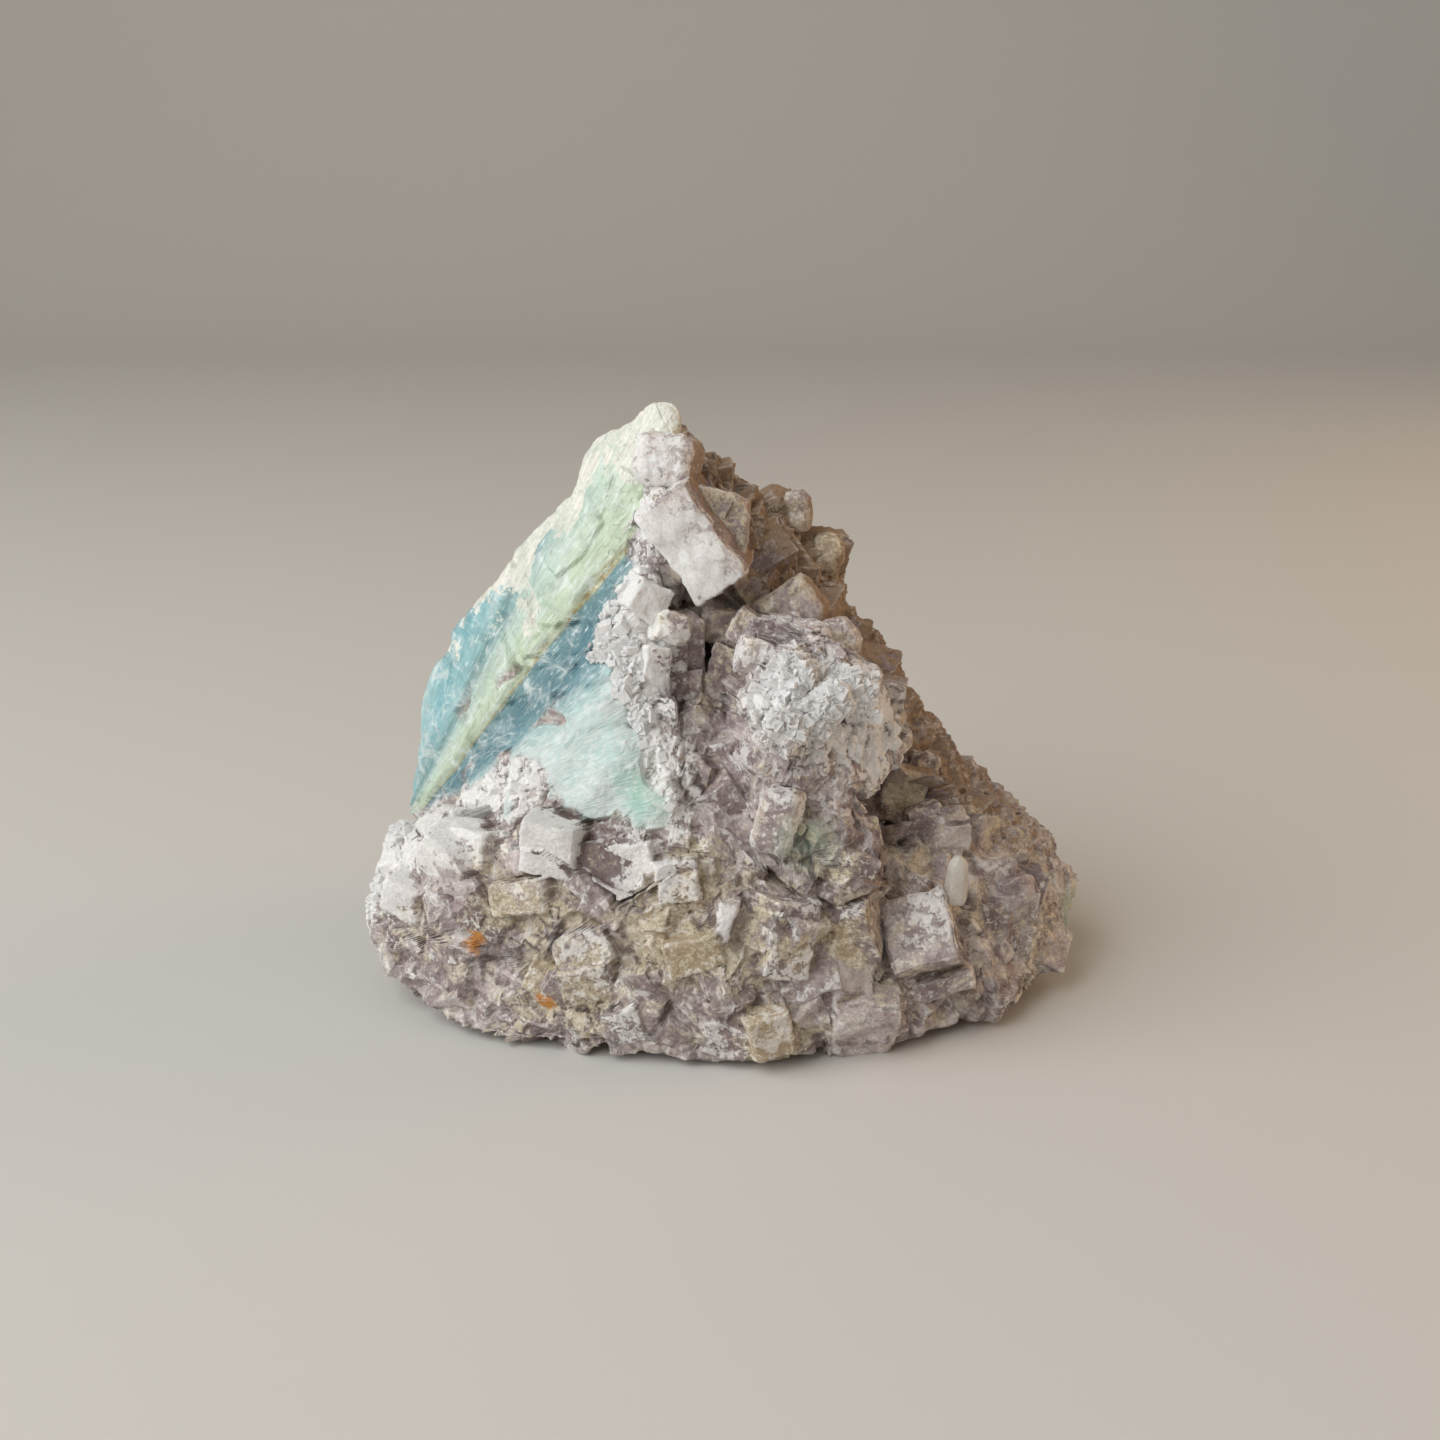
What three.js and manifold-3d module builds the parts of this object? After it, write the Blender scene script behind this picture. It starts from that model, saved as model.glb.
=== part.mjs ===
// Fluorite specimen: a broken, leaning wedge of banded green fluorite under a crust of intergrown lilac cubes.
// One natural piece, so one solid. Millimetres, +Z up, +X to the right of the show side, which faces -Y.
// The origin is in the middle of the flat foot, on the surface that the stone rests on.
import * as THREE from 'three';
import { ConvexGeometry } from 'three/addons/geometries/ConvexGeometry.js';
import { mergeVertices } from 'three/addons/utils/BufferGeometryUtils.js';
import Module from 'manifold-3d';

const wasm = await Module();
wasm.setup();

// Driving dimensions
const columns = 52; // facets round the stone
const rows = 32; // facets from the underside to the tip
const roundness = 26; // exponent of the soft corner between two broken faces: higher is sharper
const strewnCubes = 140; // cubes strewn over the crust, besides the large ones placed by hand
const smallestCube = 5; // edge of the smallest strewn cube
const largestCube = 11; // edge of the largest strewn cube
const lowestClimb = 0.2; // how far up the stone, from 0 to 1, the strewn cubes begin and end
const highestClimb = 0.96;
const largestLean = 30; // degrees that a strewn cube leans away from the face it grows on
const sunkShare = 0.33; // share of its edge by which a strewn cube's middle lies under the skin
const footFade = 8; // height over which the lumps fade out towards the flat foot

// The broken masses that make up the stone, each the hull of its own corners.
const masses = {
  wedge: [
    [-15, 2, 121.5], [-12, 0, 121.5], [-11, 6, 113], [-23, 7, 108], [-43, 13, 87], [-53, 15, 75],
    [-65, 14, 64], [-69, 12, 54], [-70, 8, 40], [-72, 1, 24], [10, 12, 97], [27, 20, 64],
    [46, 22, 40], [62, 16, 28], [80, 3, 15], [-18, -10, 88], [-52, -34, 5], [0, -43, 8], [56, -30, 5],
    [-22, 38, 72], [-50, 44, 30], [4, 54, 40], [44, 47, 24], [-54, 36, 3], [0, 50, 3], [50, 40, 3],
    [70, 20, 4], [-46, -32, 0], [0, -44, 0], [50, -29, 0], [48, 30, 0], [0, 42, 0], [-46, 30, 0],
  ],
  leftRidge: [
    [-17, -5, 103], [-13, -13, 100], [-26, -20, 76], [-16, -24, 77], [-34, -33, 57], [-16, -30, 66],
    [-7, -40, 54], [-15, -49, 44], [-6, -49, 42], [-50, -22, 45], [-42, -4, 70], [-40, -40, 34],
    [-10, -44, 28], [-64, 6, 44], [-60, -16, 36],
  ],
  lowerLobe: [
    [-79, -20, 19], [-71, -6, 29], [-60, -17, 38], [-48, -44, 31], [-35, -47, 41], [-22, -53, 34],
    [-50, -45, 14], [-64, -36, 9], [-56, -44, 2], [-44, -49, 1], [-74, -24, 8], [-28, -54, 3],
    [-18, -52, 24], [-68, 4, 14],
  ],
  bulge: [
    [3, -30, 64], [13, -35, 78], [20, -30, 81], [31, -33, 75], [39, -24, 63], [38, -31, 54],
    [15, -47, 70], [27, -45, 64], [13, -46, 54], [28, -38, 49], [5, -36, 55], [20, -8, 72],
    [10, -8, 58], [34, -4, 60],
  ],
  pendant: [
    [7, -43, 55], [25, -40, 54], [31, -45, 40], [27, -48, 33], [17, -50, 43], [8, -47, 40],
    [20, -50, 30], [12, -30, 28], [31, -28, 36],
  ],
  frontFoot: [
    [-22, -53, 31], [-4, -54, 30], [12, -54, 29], [22, -52, 20], [10, -59, 8], [1, -60, 0], [12, -60, 1],
    [-13, -58, 1], [-26, -54, 3], [20, -55, 2], [-30, -38, 1], [20, -33, 0], [-6, -50, 40],
  ],
  apron: [
    [10, -50, 31], [30, -44, 30], [26, -50, 16], [24, -54, 3], [40, -52, 2], [46, -43, 14], [48, -43, 2],
    [34, -30, 38], [0, -40, 20], [20, -30, 1], [50, -28, 30],
  ],
  rightFoot: [
    [41, -42, 26], [36, -45, 18], [30, -46, 2], [46, -42, 1], [58, -42, 2], [66, -33, 3], [62, -32, 20],
    [47, -32, 33], [75, -20, 6], [83, -5, 15], [75, 6, 27], [66, 10, 34], [56, 12, 41], [72, -13, 27],
    [50, -16, 40], [30, -30, 34],
  ],
  cap: [
    [-17, -5, 113], [-10, -6, 113], [4, -13, 102], [6, -13, 92], [-3, -21, 92], [-12, -18, 102],
    [-12, -12, 84], [2, 4, 100],
  ],
  rightShoulder: [
    [10, 10, 98], [19, 12, 92], [26, 10, 82], [32, 15, 70], [16, -4, 81], [25, -6, 68],
    [35, 4, 56], [10, -2, 74], [42, 14, 48],
  ],
};

// Places where the stone is hollowed: centre, reach and depth.
const hollows = [
  { at: [1, -19, 68], reach: 12, depth: 15 }, // the deep shaded pocket beside the ridge
  { at: [44, -20, 46], reach: 12, depth: 4 }, // the shaded slope right of the bulge
  { at: [0, -50, 38], reach: 6, depth: 3 }, // the seam between the ridge and the front foot
];

// Lumps a few millimetres high, as slanting waves: each one's height, its radians per millimetre and its phase.
const waves = [
  { height: 0.8, along: [0.21, 0.13, 0.17], phase: 0 },
  { height: 0.7, along: [0.15, -0.27, 0.22], phase: 1.3 },
  { height: 0.5, along: [-0.37, 0.31, 0.29], phase: 2.1 },
  { height: 0.4, along: [0.52, 0.47, -0.41], phase: 4.4 },
];

// The bare faces, where the stone broke across its growth layers, lie outside these two planes and in the fan,
// save for the low lobe on the left: all that lies below lobeTop and left of lobeRight is crust.
const leftEdge = { normal: new THREE.Vector3(0.727, 0.424, -0.54), through: new THREE.Vector3(-16, -6, 102) };
const backEdge = { normal: new THREE.Vector3(0.42, -0.88, 0.2), through: new THREE.Vector3(20, 34, 45) };
const fan = { at: new THREE.Vector3(-20, -41, 54), reach: 16 };
const lobeTop = { normal: new THREE.Vector3(0.557, -0.159, -0.815), through: new THREE.Vector3(-70, -5, 31) };
const lobeRight = -42;

// Steps left where growth layers broke at different depths, from and to a distance across the layers.
const layerNormal = new THREE.Vector3(0.66, -0.33, -0.67).normalize();
const layerStart = new THREE.Vector3(-23, -15, 86);
const layerSteps = [
  { from: -16, to: -2, height: 1.6 }, // the glassy olive layer stands proud
  { from: -2, to: 9, height: -1.2 }, // the dark teal layer lies low
  { from: -30, to: -26, height: -1.5 }, // a groove beside the outermost layer
  { from: 17, to: 24, height: -1.4 }, // ledges on the bare back
  { from: 31, to: 42, height: 1.4 },
  { from: 50, to: 57, height: -1.4 },
];

// The line that every ray to the skin starts on climbs from the middle of the foot to just under the tip.
const spineFoot = new THREE.Vector3(0, 0, 13);
const spineTop = new THREE.Vector3(-14, 2, 104);
const footShare = 0.24; // share of the rows whose rays go down and out to the foot
const footSlope = 0.4; // how steeply those rays go down
const tipShare = 0.93; // share of the rows below those whose rays go up to the tip

// Large cubes placed by hand: centre, edge, and turns in degrees about X, Y and Z.
const largeCubes = [
  { at: [-3, -11, 89], edge: 16, turn: [28, 38, 20] }, // frosted block over the pocket
  { at: [-3, -6, 99], edge: 15, turn: [10, 12, -24] },
  { at: [-10, -4, 108], edge: 11, turn: [24, 20, 38] }, // knob under the tip
  { at: [14, -4, 79], edge: 15, turn: [30, -28, 34] },
  { at: [8, -24, 74], edge: 9, turn: [14, -16, 22] },
  { at: [21, -13, 76], edge: 12, turn: [18, 32, 40] },
  { at: [-10, -22, 79], edge: 7, turn: [20, -25, 30] }, // steps down into the pocket
  { at: [-9, -17, 71], edge: 9, turn: [4, 6, 24] },
  { at: [-4, -13, 66], edge: 9, turn: [2, 4, 14] },
  { at: [-1, -10, 74], edge: 9, turn: [4, 8, 8] },
  { at: [-11, -43, 38], edge: 13, turn: [12, -14, 14] },
  { at: [-34, -39, 40], edge: 12, turn: [16, 6, -12] },
  { at: [-53, -30, 35], edge: 11, turn: [32, 14, -40] },
  { at: [-46, -38, 26], edge: 11, turn: [18, 32, -24] },
  { at: [-64, -26, 24], edge: 8, turn: [10, 12, -30] },
  { at: [14, -46, 27], edge: 13, turn: [26, 24, 36] },
  { at: [25, -44, 26], edge: 12, turn: [14, -18, -14] },
  { at: [-8, -49, 25], edge: 12, turn: [20, 12, 8] },
  { at: [39, -34, 24], edge: 17, turn: [38, -22, 30] }, // the big wine-dark cube
  { at: [40, -22, 43], edge: 11, turn: [12, 22, 30] },
  { at: [47, -24, 38], edge: 7, turn: [10, 6, 16] },
  { at: [59, -22, 21], edge: 10, turn: [8, 14, 24] },
  { at: [27, -43, 35], edge: 10, turn: [30, 34, 18] }, // the lobe under the bulge
  { at: [10, -51, 8], edge: 11, turn: [22, -20, 30] },
  { at: [-16, -48, 11], edge: 11, turn: [14, 24, -20] },
  { at: [13, 13, 96], edge: 8, turn: [20, 30, 10] }, // knobs on the right skyline
  { at: [22, 13, 87], edge: 9, turn: [24, 10, 30] },
];

// Small six-sided points: centre, radius, length, and the way that the point looks.
const pointSlope = 1.3; // height of a point's tip, in radii
const points = [
  { at: [48, -33, 33], radius: 2.5, length: 10, towards: [0.12, -0.25, 1] },
  { at: [-5, -11, 106], radius: 1.7, length: 6, towards: [0.1, -0.2, 1] },
];

function planesOf(corners) {
  const hull = new ConvexGeometry(corners.map((corner) => new THREE.Vector3(...corner)));
  const position = hull.getAttribute('position');
  const planes = [];
  for (let i = 0; i < position.count; i += 3) {
    const [a, b, c] = [0, 1, 2].map((k) => new THREE.Vector3().fromBufferAttribute(position, i + k));
    const plane = new THREE.Plane().setFromCoplanarPoints(a, b, c);
    const known = planes.some(({ normal }) => normal.dot(plane.normal) > 0.9995);
    if (!known) planes.push(plane);
  }
  return planes;
}
const massPlanes = Object.values(masses).map(planesOf);

// Where a ray from a point leaves the last mass that it crosses, with corners softened by a power mean.
function leavesAt(origin, direction) {
  let furthest = 0;
  for (const planes of massPlanes) {
    let enter = 0;
    let leave = Infinity;
    let softened = 0;
    for (const { normal, constant } of planes) {
      const slope = normal.dot(direction);
      const distance = -(normal.dot(origin) + constant) / slope;
      if (slope < -1e-6) enter = Math.max(enter, distance);
      if (slope > 1e-6) {
        leave = Math.min(leave, distance);
        softened += Math.max(distance, 1e-3) ** -roundness;
      }
    }
    if (leave > enter) furthest = Math.max(furthest, softened ** (-1 / roundness));
  }
  return furthest;
}

function lumpsAt(p) {
  return waves.reduce((sum, { height, along, phase }) => (
    sum + height * Math.sin(p.dot(new THREE.Vector3(...along)) + phase)
  ), 0);
}

// Each hollow is a bell-shaped dent.
function hollowsAt(p) {
  return hollows.reduce((sum, { at, reach, depth }) => (
    sum + depth * Math.exp(-p.distanceToSquared(new THREE.Vector3(...at)) / reach ** 2)
  ), 0);
}

// How far a point is into the crust: positive on the front and right, negative on the bare faces.
function crustDepth(p) {
  const [left, back, lobe] = [leftEdge, backEdge, lobeTop].map(({ normal, through }) => (
    normal.dot(p.clone().sub(through))
  ));
  return Math.max(Math.min(left, back, p.distanceTo(fan.at) - fan.reach), Math.min(lobe, lobeRight - p.x));
}

function layerRelief(p) {
  const across = layerNormal.dot(p.clone().sub(layerStart));
  const step = layerSteps.find(({ from, to }) => across > from && across < to);
  return step && crustDepth(p) < 0 ? step.height : 0;
}

// A point of the skin: round runs 0 to 1 about the stone, climb 0 to 1 from the underside to the tip.
function skin(round, climb) {
  const angle = round * 2 * Math.PI;
  const direction = new THREE.Vector3(Math.cos(angle), Math.sin(angle), 0);
  const start = new THREE.Vector3();
  if (climb < footShare) {
    const share = climb / footShare;
    start.copy(spineFoot);
    direction.multiplyScalar(share).setZ(-(1 - share) * footSlope);
  } else if (climb > tipShare) {
    const share = (climb - tipShare) / (1 - tipShare);
    start.copy(spineTop);
    direction.multiplyScalar(1 - share).setZ(share);
  } else {
    start.lerpVectors(spineFoot, spineTop, (climb - footShare) / (tipShare - footShare));
  }
  direction.normalize();
  const point = start.clone().addScaledVector(direction, leavesAt(start, direction));
  const fade = THREE.MathUtils.smoothstep(point.z, 0, footFade);
  point.addScaledVector(direction, fade * (lumpsAt(point) + layerRelief(point) - hollowsAt(point)));
  point.z = Math.max(point.z, 0);
  return { point, direction };
}

function solidFrom(geometry) {
  const bare = geometry.clone();
  bare.deleteAttribute('normal');
  bare.deleteAttribute('uv');
  const merged = mergeVertices(bare, 1e-4);
  return new wasm.Manifold(new wasm.Mesh({
    numProp: 3,
    vertProperties: merged.getAttribute('position').array,
    triVerts: new Uint32Array(merged.index.array),
  }));
}

function stoneBody() {
  const vertices = [skin(0, 0).point];
  for (let row = 1; row < rows; row += 1) {
    for (let column = 0; column < columns; column += 1) vertices.push(skin(column / columns, row / rows).point);
  }
  vertices.push(skin(0, 1).point);
  const tip = vertices.length - 1;
  const at = (row, column) => 1 + (row - 1) * columns + (column % columns);
  const triangles = [];
  for (let column = 0; column < columns; column += 1) {
    triangles.push(0, at(1, column + 1), at(1, column));
    triangles.push(tip, at(rows - 1, column), at(rows - 1, column + 1));
    for (let row = 1; row < rows - 1; row += 1) {
      triangles.push(at(row, column), at(row, column + 1), at(row + 1, column + 1));
      triangles.push(at(row, column), at(row + 1, column + 1), at(row + 1, column));
    }
  }
  const geometry = new THREE.BufferGeometry();
  geometry.setAttribute('position', new THREE.Float32BufferAttribute(vertices.flatMap((v) => v.toArray()), 3));
  geometry.setIndex(triangles);
  return solidFrom(geometry);
}

function cube(at, edge, rotation) {
  const geometry = new THREE.BoxGeometry(edge, edge, edge);
  geometry.applyQuaternion(rotation);
  geometry.translate(...at);
  return solidFrom(geometry);
}

function largeCube({ at, edge, turn }) {
  const euler = new THREE.Euler(...turn.map(THREE.MathUtils.degToRad));
  return cube(at, edge, new THREE.Quaternion().setFromEuler(euler));
}

function sixSidedPoint({ at, radius, length, towards }) {
  const half = length / 2;
  const shoulder = half - radius * pointSlope;
  const profile = [[0, -half], [radius, -shoulder], [radius, shoulder], [0, half]];
  const geometry = new THREE.LatheGeometry(profile.map(([x, y]) => new THREE.Vector2(x, y)), 6);
  const lengthways = new THREE.Vector3(0, 1, 0);
  const heading = new THREE.Vector3(...towards).normalize();
  geometry.applyQuaternion(new THREE.Quaternion().setFromUnitVectors(lengthways, heading));
  geometry.translate(...at);
  return solidFrom(geometry);
}

// An even scatter from 0 to 1: the nth multiple of an irrational step, with a step for each thing it decides.
const scatter = (n, step) => (0.5 + n * step) % 1;
const scatterSteps = {
  round: 0.754877666,
  climb: 0.569840291,
  edge: 0.381966011,
  leanX: 0.414213562,
  leanY: 0.732050808,
  spin: 0.236067977,
};

// Cubes strewn evenly over the crust, each sunk into it and leaning a little off the face that it grows on.
function strewn() {
  const lean = THREE.MathUtils.degToRad(largestLean);
  const cubes = [];
  for (let n = 0; cubes.length < strewnCubes; n += 1) {
    const share = (name) => scatter(n, scatterSteps[name]);
    const climb = THREE.MathUtils.lerp(lowestClimb, highestClimb, share('climb'));
    const { point, direction } = skin(share('round'), climb);
    const edge = THREE.MathUtils.lerp(smallestCube, largestCube, share('edge') ** 2);
    if (crustDepth(point) < edge / 2 || point.z < edge / 2) continue;
    const turn = new THREE.Euler(
      THREE.MathUtils.lerp(-lean, lean, share('leanX')),
      THREE.MathUtils.lerp(-lean, lean, share('leanY')),
      Math.PI * share('spin'),
    );
    const rotation = new THREE.Quaternion().setFromUnitVectors(new THREE.Vector3(0, 0, 1), direction);
    rotation.multiply(new THREE.Quaternion().setFromEuler(turn));
    cubes.push(cube(point.addScaledVector(direction, -sunkShare * edge), edge, rotation));
  }
  return cubes;
}

// Cuts off whatever a low crystal would push below the surface that the stone rests on.
function underground() {
  const side = 300;
  const geometry = new THREE.BoxGeometry(side, side, side);
  geometry.translate(0, 0, -side / 2);
  return solidFrom(geometry);
}

function toGeometry(solid) {
  const { vertProperties, triVerts } = solid.getMesh();
  const geometry = new THREE.BufferGeometry();
  geometry.setAttribute('position', new THREE.BufferAttribute(vertProperties, 3));
  geometry.setIndex(new THREE.BufferAttribute(triVerts, 1));
  return geometry;
}

// Crossing crystals can close off a bubble, so only the outer skin is kept.
function withoutBubbles(solid) {
  return solid.decompose().reduce((a, b) => (b.volume() > a.volume() ? b : a));
}

const crystals = [...largeCubes.map(largeCube), ...strewn(), ...points.map(sixSidedPoint)];
const grownTogether = crystals.reduce((solid, crystal) => solid.add(crystal), stoneBody());
const whole = withoutBubbles(grownTogether.subtract(underground()));

const specimen = new THREE.Group();
const stone = new THREE.Mesh(
  toGeometry(whole),
  new THREE.MeshStandardMaterial({ color: 0xb3a8ab, roughness: 0.75, metalness: 0 }),
);
stone.name = 'fluorite_specimen';
specimen.add(stone);

export default specimen;
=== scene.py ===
import math

import bmesh
import bpy
import numpy as np
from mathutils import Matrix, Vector


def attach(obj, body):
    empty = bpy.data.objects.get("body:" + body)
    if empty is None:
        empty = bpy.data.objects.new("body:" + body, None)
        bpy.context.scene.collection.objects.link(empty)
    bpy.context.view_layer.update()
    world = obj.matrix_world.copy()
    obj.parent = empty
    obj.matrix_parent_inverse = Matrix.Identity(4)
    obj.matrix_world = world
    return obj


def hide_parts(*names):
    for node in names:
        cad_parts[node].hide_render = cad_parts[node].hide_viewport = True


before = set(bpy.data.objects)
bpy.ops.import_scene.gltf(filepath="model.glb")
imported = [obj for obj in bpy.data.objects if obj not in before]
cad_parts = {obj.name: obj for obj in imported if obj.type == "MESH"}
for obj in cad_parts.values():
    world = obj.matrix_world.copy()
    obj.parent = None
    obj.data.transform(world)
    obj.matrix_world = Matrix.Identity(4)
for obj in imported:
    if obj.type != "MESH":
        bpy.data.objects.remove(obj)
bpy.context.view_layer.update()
mm = 0.001  # metres in a millimetre; every shape below is worked out in millimetres
node = "fluorite_specimen"
print("frame loaded")

# Stone: the massive fluorite under everything
stone = {
    "columns": 800,  # vertices round the stone
    "rows": 480,  # vertices from the underside to the tip
    "wedges": 5,  # meshes that it is cut into
    "frontCrowding": 1.2,  # how much closer together the columns stand on the show side
    "footRows": 0.05,  # share of the rows spent on the flat underside
    "batches": 16,  # parts that the skin is worked out in, to save memory
    "spineDrift": 0.5,  # how much of the way outwards follows the rays, and not the surface
    "footClimb": 0.16,  # where those rows end
    "evened": 28,  # grid places that the way outwards is evened out over
    "spacingEvened": [2, 10],  # and the spacing of the grid, along a line of it and across
    "cliffs": [0.3, 0.75],  # cosines between the skin and the way outwards, from least relief to all of it
    "reliefFade": 2.5,  # height above the floor in which the broken surface's relief sets in
    "roundness": 26,  # exponent of the soft corner between two broken faces
    "sameFace": 0.9995,  # cosine over which two hull faces are one
    "masses": {
        "wedge": [
            [-15, 2, 121.5], [-12, 0, 121.5], [-11, 6, 113], [-23, 7, 108], [-43, 13, 87], [-53, 15, 75],
            [-65, 14, 64], [-69, 12, 54], [-70, 8, 40], [-72, 1, 24], [10, 12, 97], [27, 20, 64],
            [46, 22, 40], [62, 16, 28], [80, 3, 15], [-18, -10, 88], [-52, -34, 5], [0, -43, 8], [56, -30, 5],
            [-22, 38, 72], [-50, 44, 30], [4, 54, 40], [44, 47, 24], [-54, 36, 3], [0, 50, 3], [50, 40, 3],
            [70, 20, 4], [-46, -32, 0], [0, -44, 0], [50, -29, 0], [48, 30, 0], [0, 42, 0], [-46, 30, 0],
        ],
        "leftRidge": [
            [-17, -5, 103], [-13, -13, 100], [-26, -20, 76], [-16, -24, 77], [-34, -33, 57], [-16, -30, 66],
            [-7, -40, 54], [-15, -49, 44], [-6, -49, 42], [-50, -22, 45], [-42, -4, 70], [-40, -40, 34],
            [-10, -44, 28], [-64, 6, 44], [-60, -16, 36],
        ],
        "lowerLobe": [
            [-79, -20, 19], [-71, -6, 29], [-60, -17, 38], [-48, -44, 31], [-35, -47, 41], [-22, -53, 34],
            [-50, -45, 14], [-64, -36, 9], [-56, -44, 2], [-44, -49, 1], [-74, -24, 8], [-28, -54, 3],
            [-18, -52, 24], [-68, 4, 14],
        ],
        "bulge": [
            [3, -30, 64], [13, -35, 78], [20, -30, 81], [31, -33, 75], [39, -24, 63], [38, -31, 54],
            [15, -47, 70], [27, -45, 64], [13, -46, 54], [28, -38, 49], [5, -36, 55], [20, -8, 72],
            [10, -8, 58], [34, -4, 60],
        ],
        "pendant": [
            [7, -43, 55], [25, -40, 54], [31, -45, 40], [27, -48, 33], [17, -50, 43], [8, -47, 40],
            [20, -50, 30], [12, -30, 28], [31, -28, 36],
        ],
        "frontFoot": [
            [-22, -53, 31], [-4, -54, 30], [12, -54, 29], [22, -52, 20], [10, -59, 8], [1, -60, 0],
            [12, -60, 1], [-13, -58, 1], [-26, -54, 3], [20, -55, 2], [-30, -38, 1], [20, -33, 0],
            [-6, -50, 40],
        ],
        "apron": [
            [10, -50, 31], [30, -44, 30], [26, -50, 16], [24, -54, 3], [40, -52, 2], [46, -43, 14],
            [48, -43, 2], [34, -30, 38], [0, -40, 20], [20, -30, 1], [50, -28, 30],
        ],
        "rightFoot": [
            [41, -42, 26], [36, -45, 18], [30, -46, 2], [46, -42, 1], [58, -42, 2], [66, -33, 3],
            [62, -32, 20], [47, -32, 33], [75, -20, 6], [83, -5, 15], [75, 6, 27], [66, 10, 34],
            [56, 12, 41], [72, -13, 27], [50, -16, 40], [30, -30, 34],
        ],
        "cap": [
            [-17, -5, 113], [-10, -6, 113], [4, -13, 102], [6, -13, 92], [-3, -21, 92], [-12, -18, 102],
            [-12, -12, 84], [2, 4, 100],
        ],
        "valley": [  # lower ground between the ridge and the bulge
            [-14, -34, 60], [8, -34, 60], [-13, -42, 50], [10, -42, 50], [-10, -47, 42], [10, -46, 42],
            [-8, -50, 34], [8, -50, 34], [-8, -30, 64], [4, -30, 64], [-8, -30, 34], [8, -30, 34],
        ],
        "rightShoulder": [
            [10, 10, 98], [19, 12, 92], [26, 10, 82], [32, 15, 70], [16, -4, 81], [25, -6, 68],
            [35, 4, 56], [10, -2, 74], [42, 14, 48],
        ],
    },
    "hollows": [  # centre, reach, depth
        [1, -19, 68, 12, 11],  # the deep shaded pocket beside the ridge
        [44, -20, 46, 12, 3],
        [-6, -27, 77, 7, 6],
    ],
    "waves": [  # height, radians per millimetre along X, Y and Z, phase
        [0.8, 0.21, 0.13, 0.17, 0],
        [0.7, 0.15, -0.27, 0.22, 1.3],
        [0.5, -0.37, 0.31, 0.29, 2.1],
        [0.4, 0.52, 0.47, -0.41, 4.4],
    ],
    "leftEdge": [[0.727, 0.424, -0.54], [-16, -6, 102]],  # normal and a point of the plane
    "backEdge": [[0.42, -0.88, 0.2], [20, 34, 45]],
    "bareStrips": [  # two ends and the reach at each: where the broken face runs in between the crust
        [[-25, -14, 84], [-42, -16, 60], 5, 8],
        [[-45, -10, 58], [-64, 2, 38], 8, 4],
        [[-60, 4, 50], [-66, 6, 38], 6, 5],
        [[-27, -27, 68], [-15, -45, 49], 7, 4],
        [[-24, -32, 62], [-33, -30, 57], 7, 4],
        [[-57, -9, 41], [-49, -15, 49], 2.5, 2.5],
        [[-42, -21, 55], [-33, -26.5, 58], 3, 4],
        [[-29, -34.5, 52], [-23, -40, 50], 4.5, 3],
    ],
    "crustSpots": [[-9, -14, 110, 9], [-14, -16, 102, 7]],  # centre and reach of crust past those edges
    "veilWidth": 8,  # how far white frost spreads from the crust over the fan beside it
    "lobeTop": [[0.557, -0.159, -0.815], [-70, -5, 31]],  # below it, and left of lobeRight, all is crust
    "lobeRight": -42,
    "layerEnd": [-70.7, -8, 26.7],  # the growth layers fan out from a line through this point
    "layerAxis": [-0.1716, 0.915, -0.3648],
    "layerSteps": [  # from and to an angle round that line, in degrees, and height
        [53, 63, 1.5],
        [42, 53, -1.2],
        [64.5, 67, -1.4],
        [74, 76, -1.2],
        [90, 97, 1.4],
        [118, 126, -1.4],
    ],
    "stepSlope": 0.7,  # half the angle that a step takes to rise
    "spineFoot": [0, 0, 13],  # the line inside the stone that the rays to its skin start from
    "spineTop": [-14, 2, 104],
    "footShare": 0.24,  # share of the rows' climb in which the rays turn from down to level
    "footSlope": 0.4,  # how far the lowest rays point down
    "tipShare": 0.93,  # where on the climb the rays begin to turn up to the tip
    "footFade": 8,  # height above the floor in which lumps, steps and hollows set in
    "coreEnds": [2, 4],  # how far the line that the wedges meet along starts and ends inside the stone
}


def planesOf(corners):
    # the faces of the hull of some corners: unit normals and their distances from the origin
    hull = bmesh.new()
    for corner in corners:
        hull.verts.new(corner)
    bmesh.ops.convex_hull(hull, input=hull.verts)
    middle = Vector(np.mean(corners, axis=0))
    normals = []
    distances = []
    for face in hull.faces:
        face.normal_update()
        centre = face.calc_center_median()
        normal = face.normal if face.normal.dot(centre - middle) > 0 else -face.normal
        if all(normal.dot(known) < stone["sameFace"] for known in normals):
            normals.append(normal.copy())
            distances.append(normal.dot(centre))
    hull.free()
    return np.array(normals), np.array(distances)


massPlanes = [planesOf(corners) for corners in stone["masses"].values()]


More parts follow.
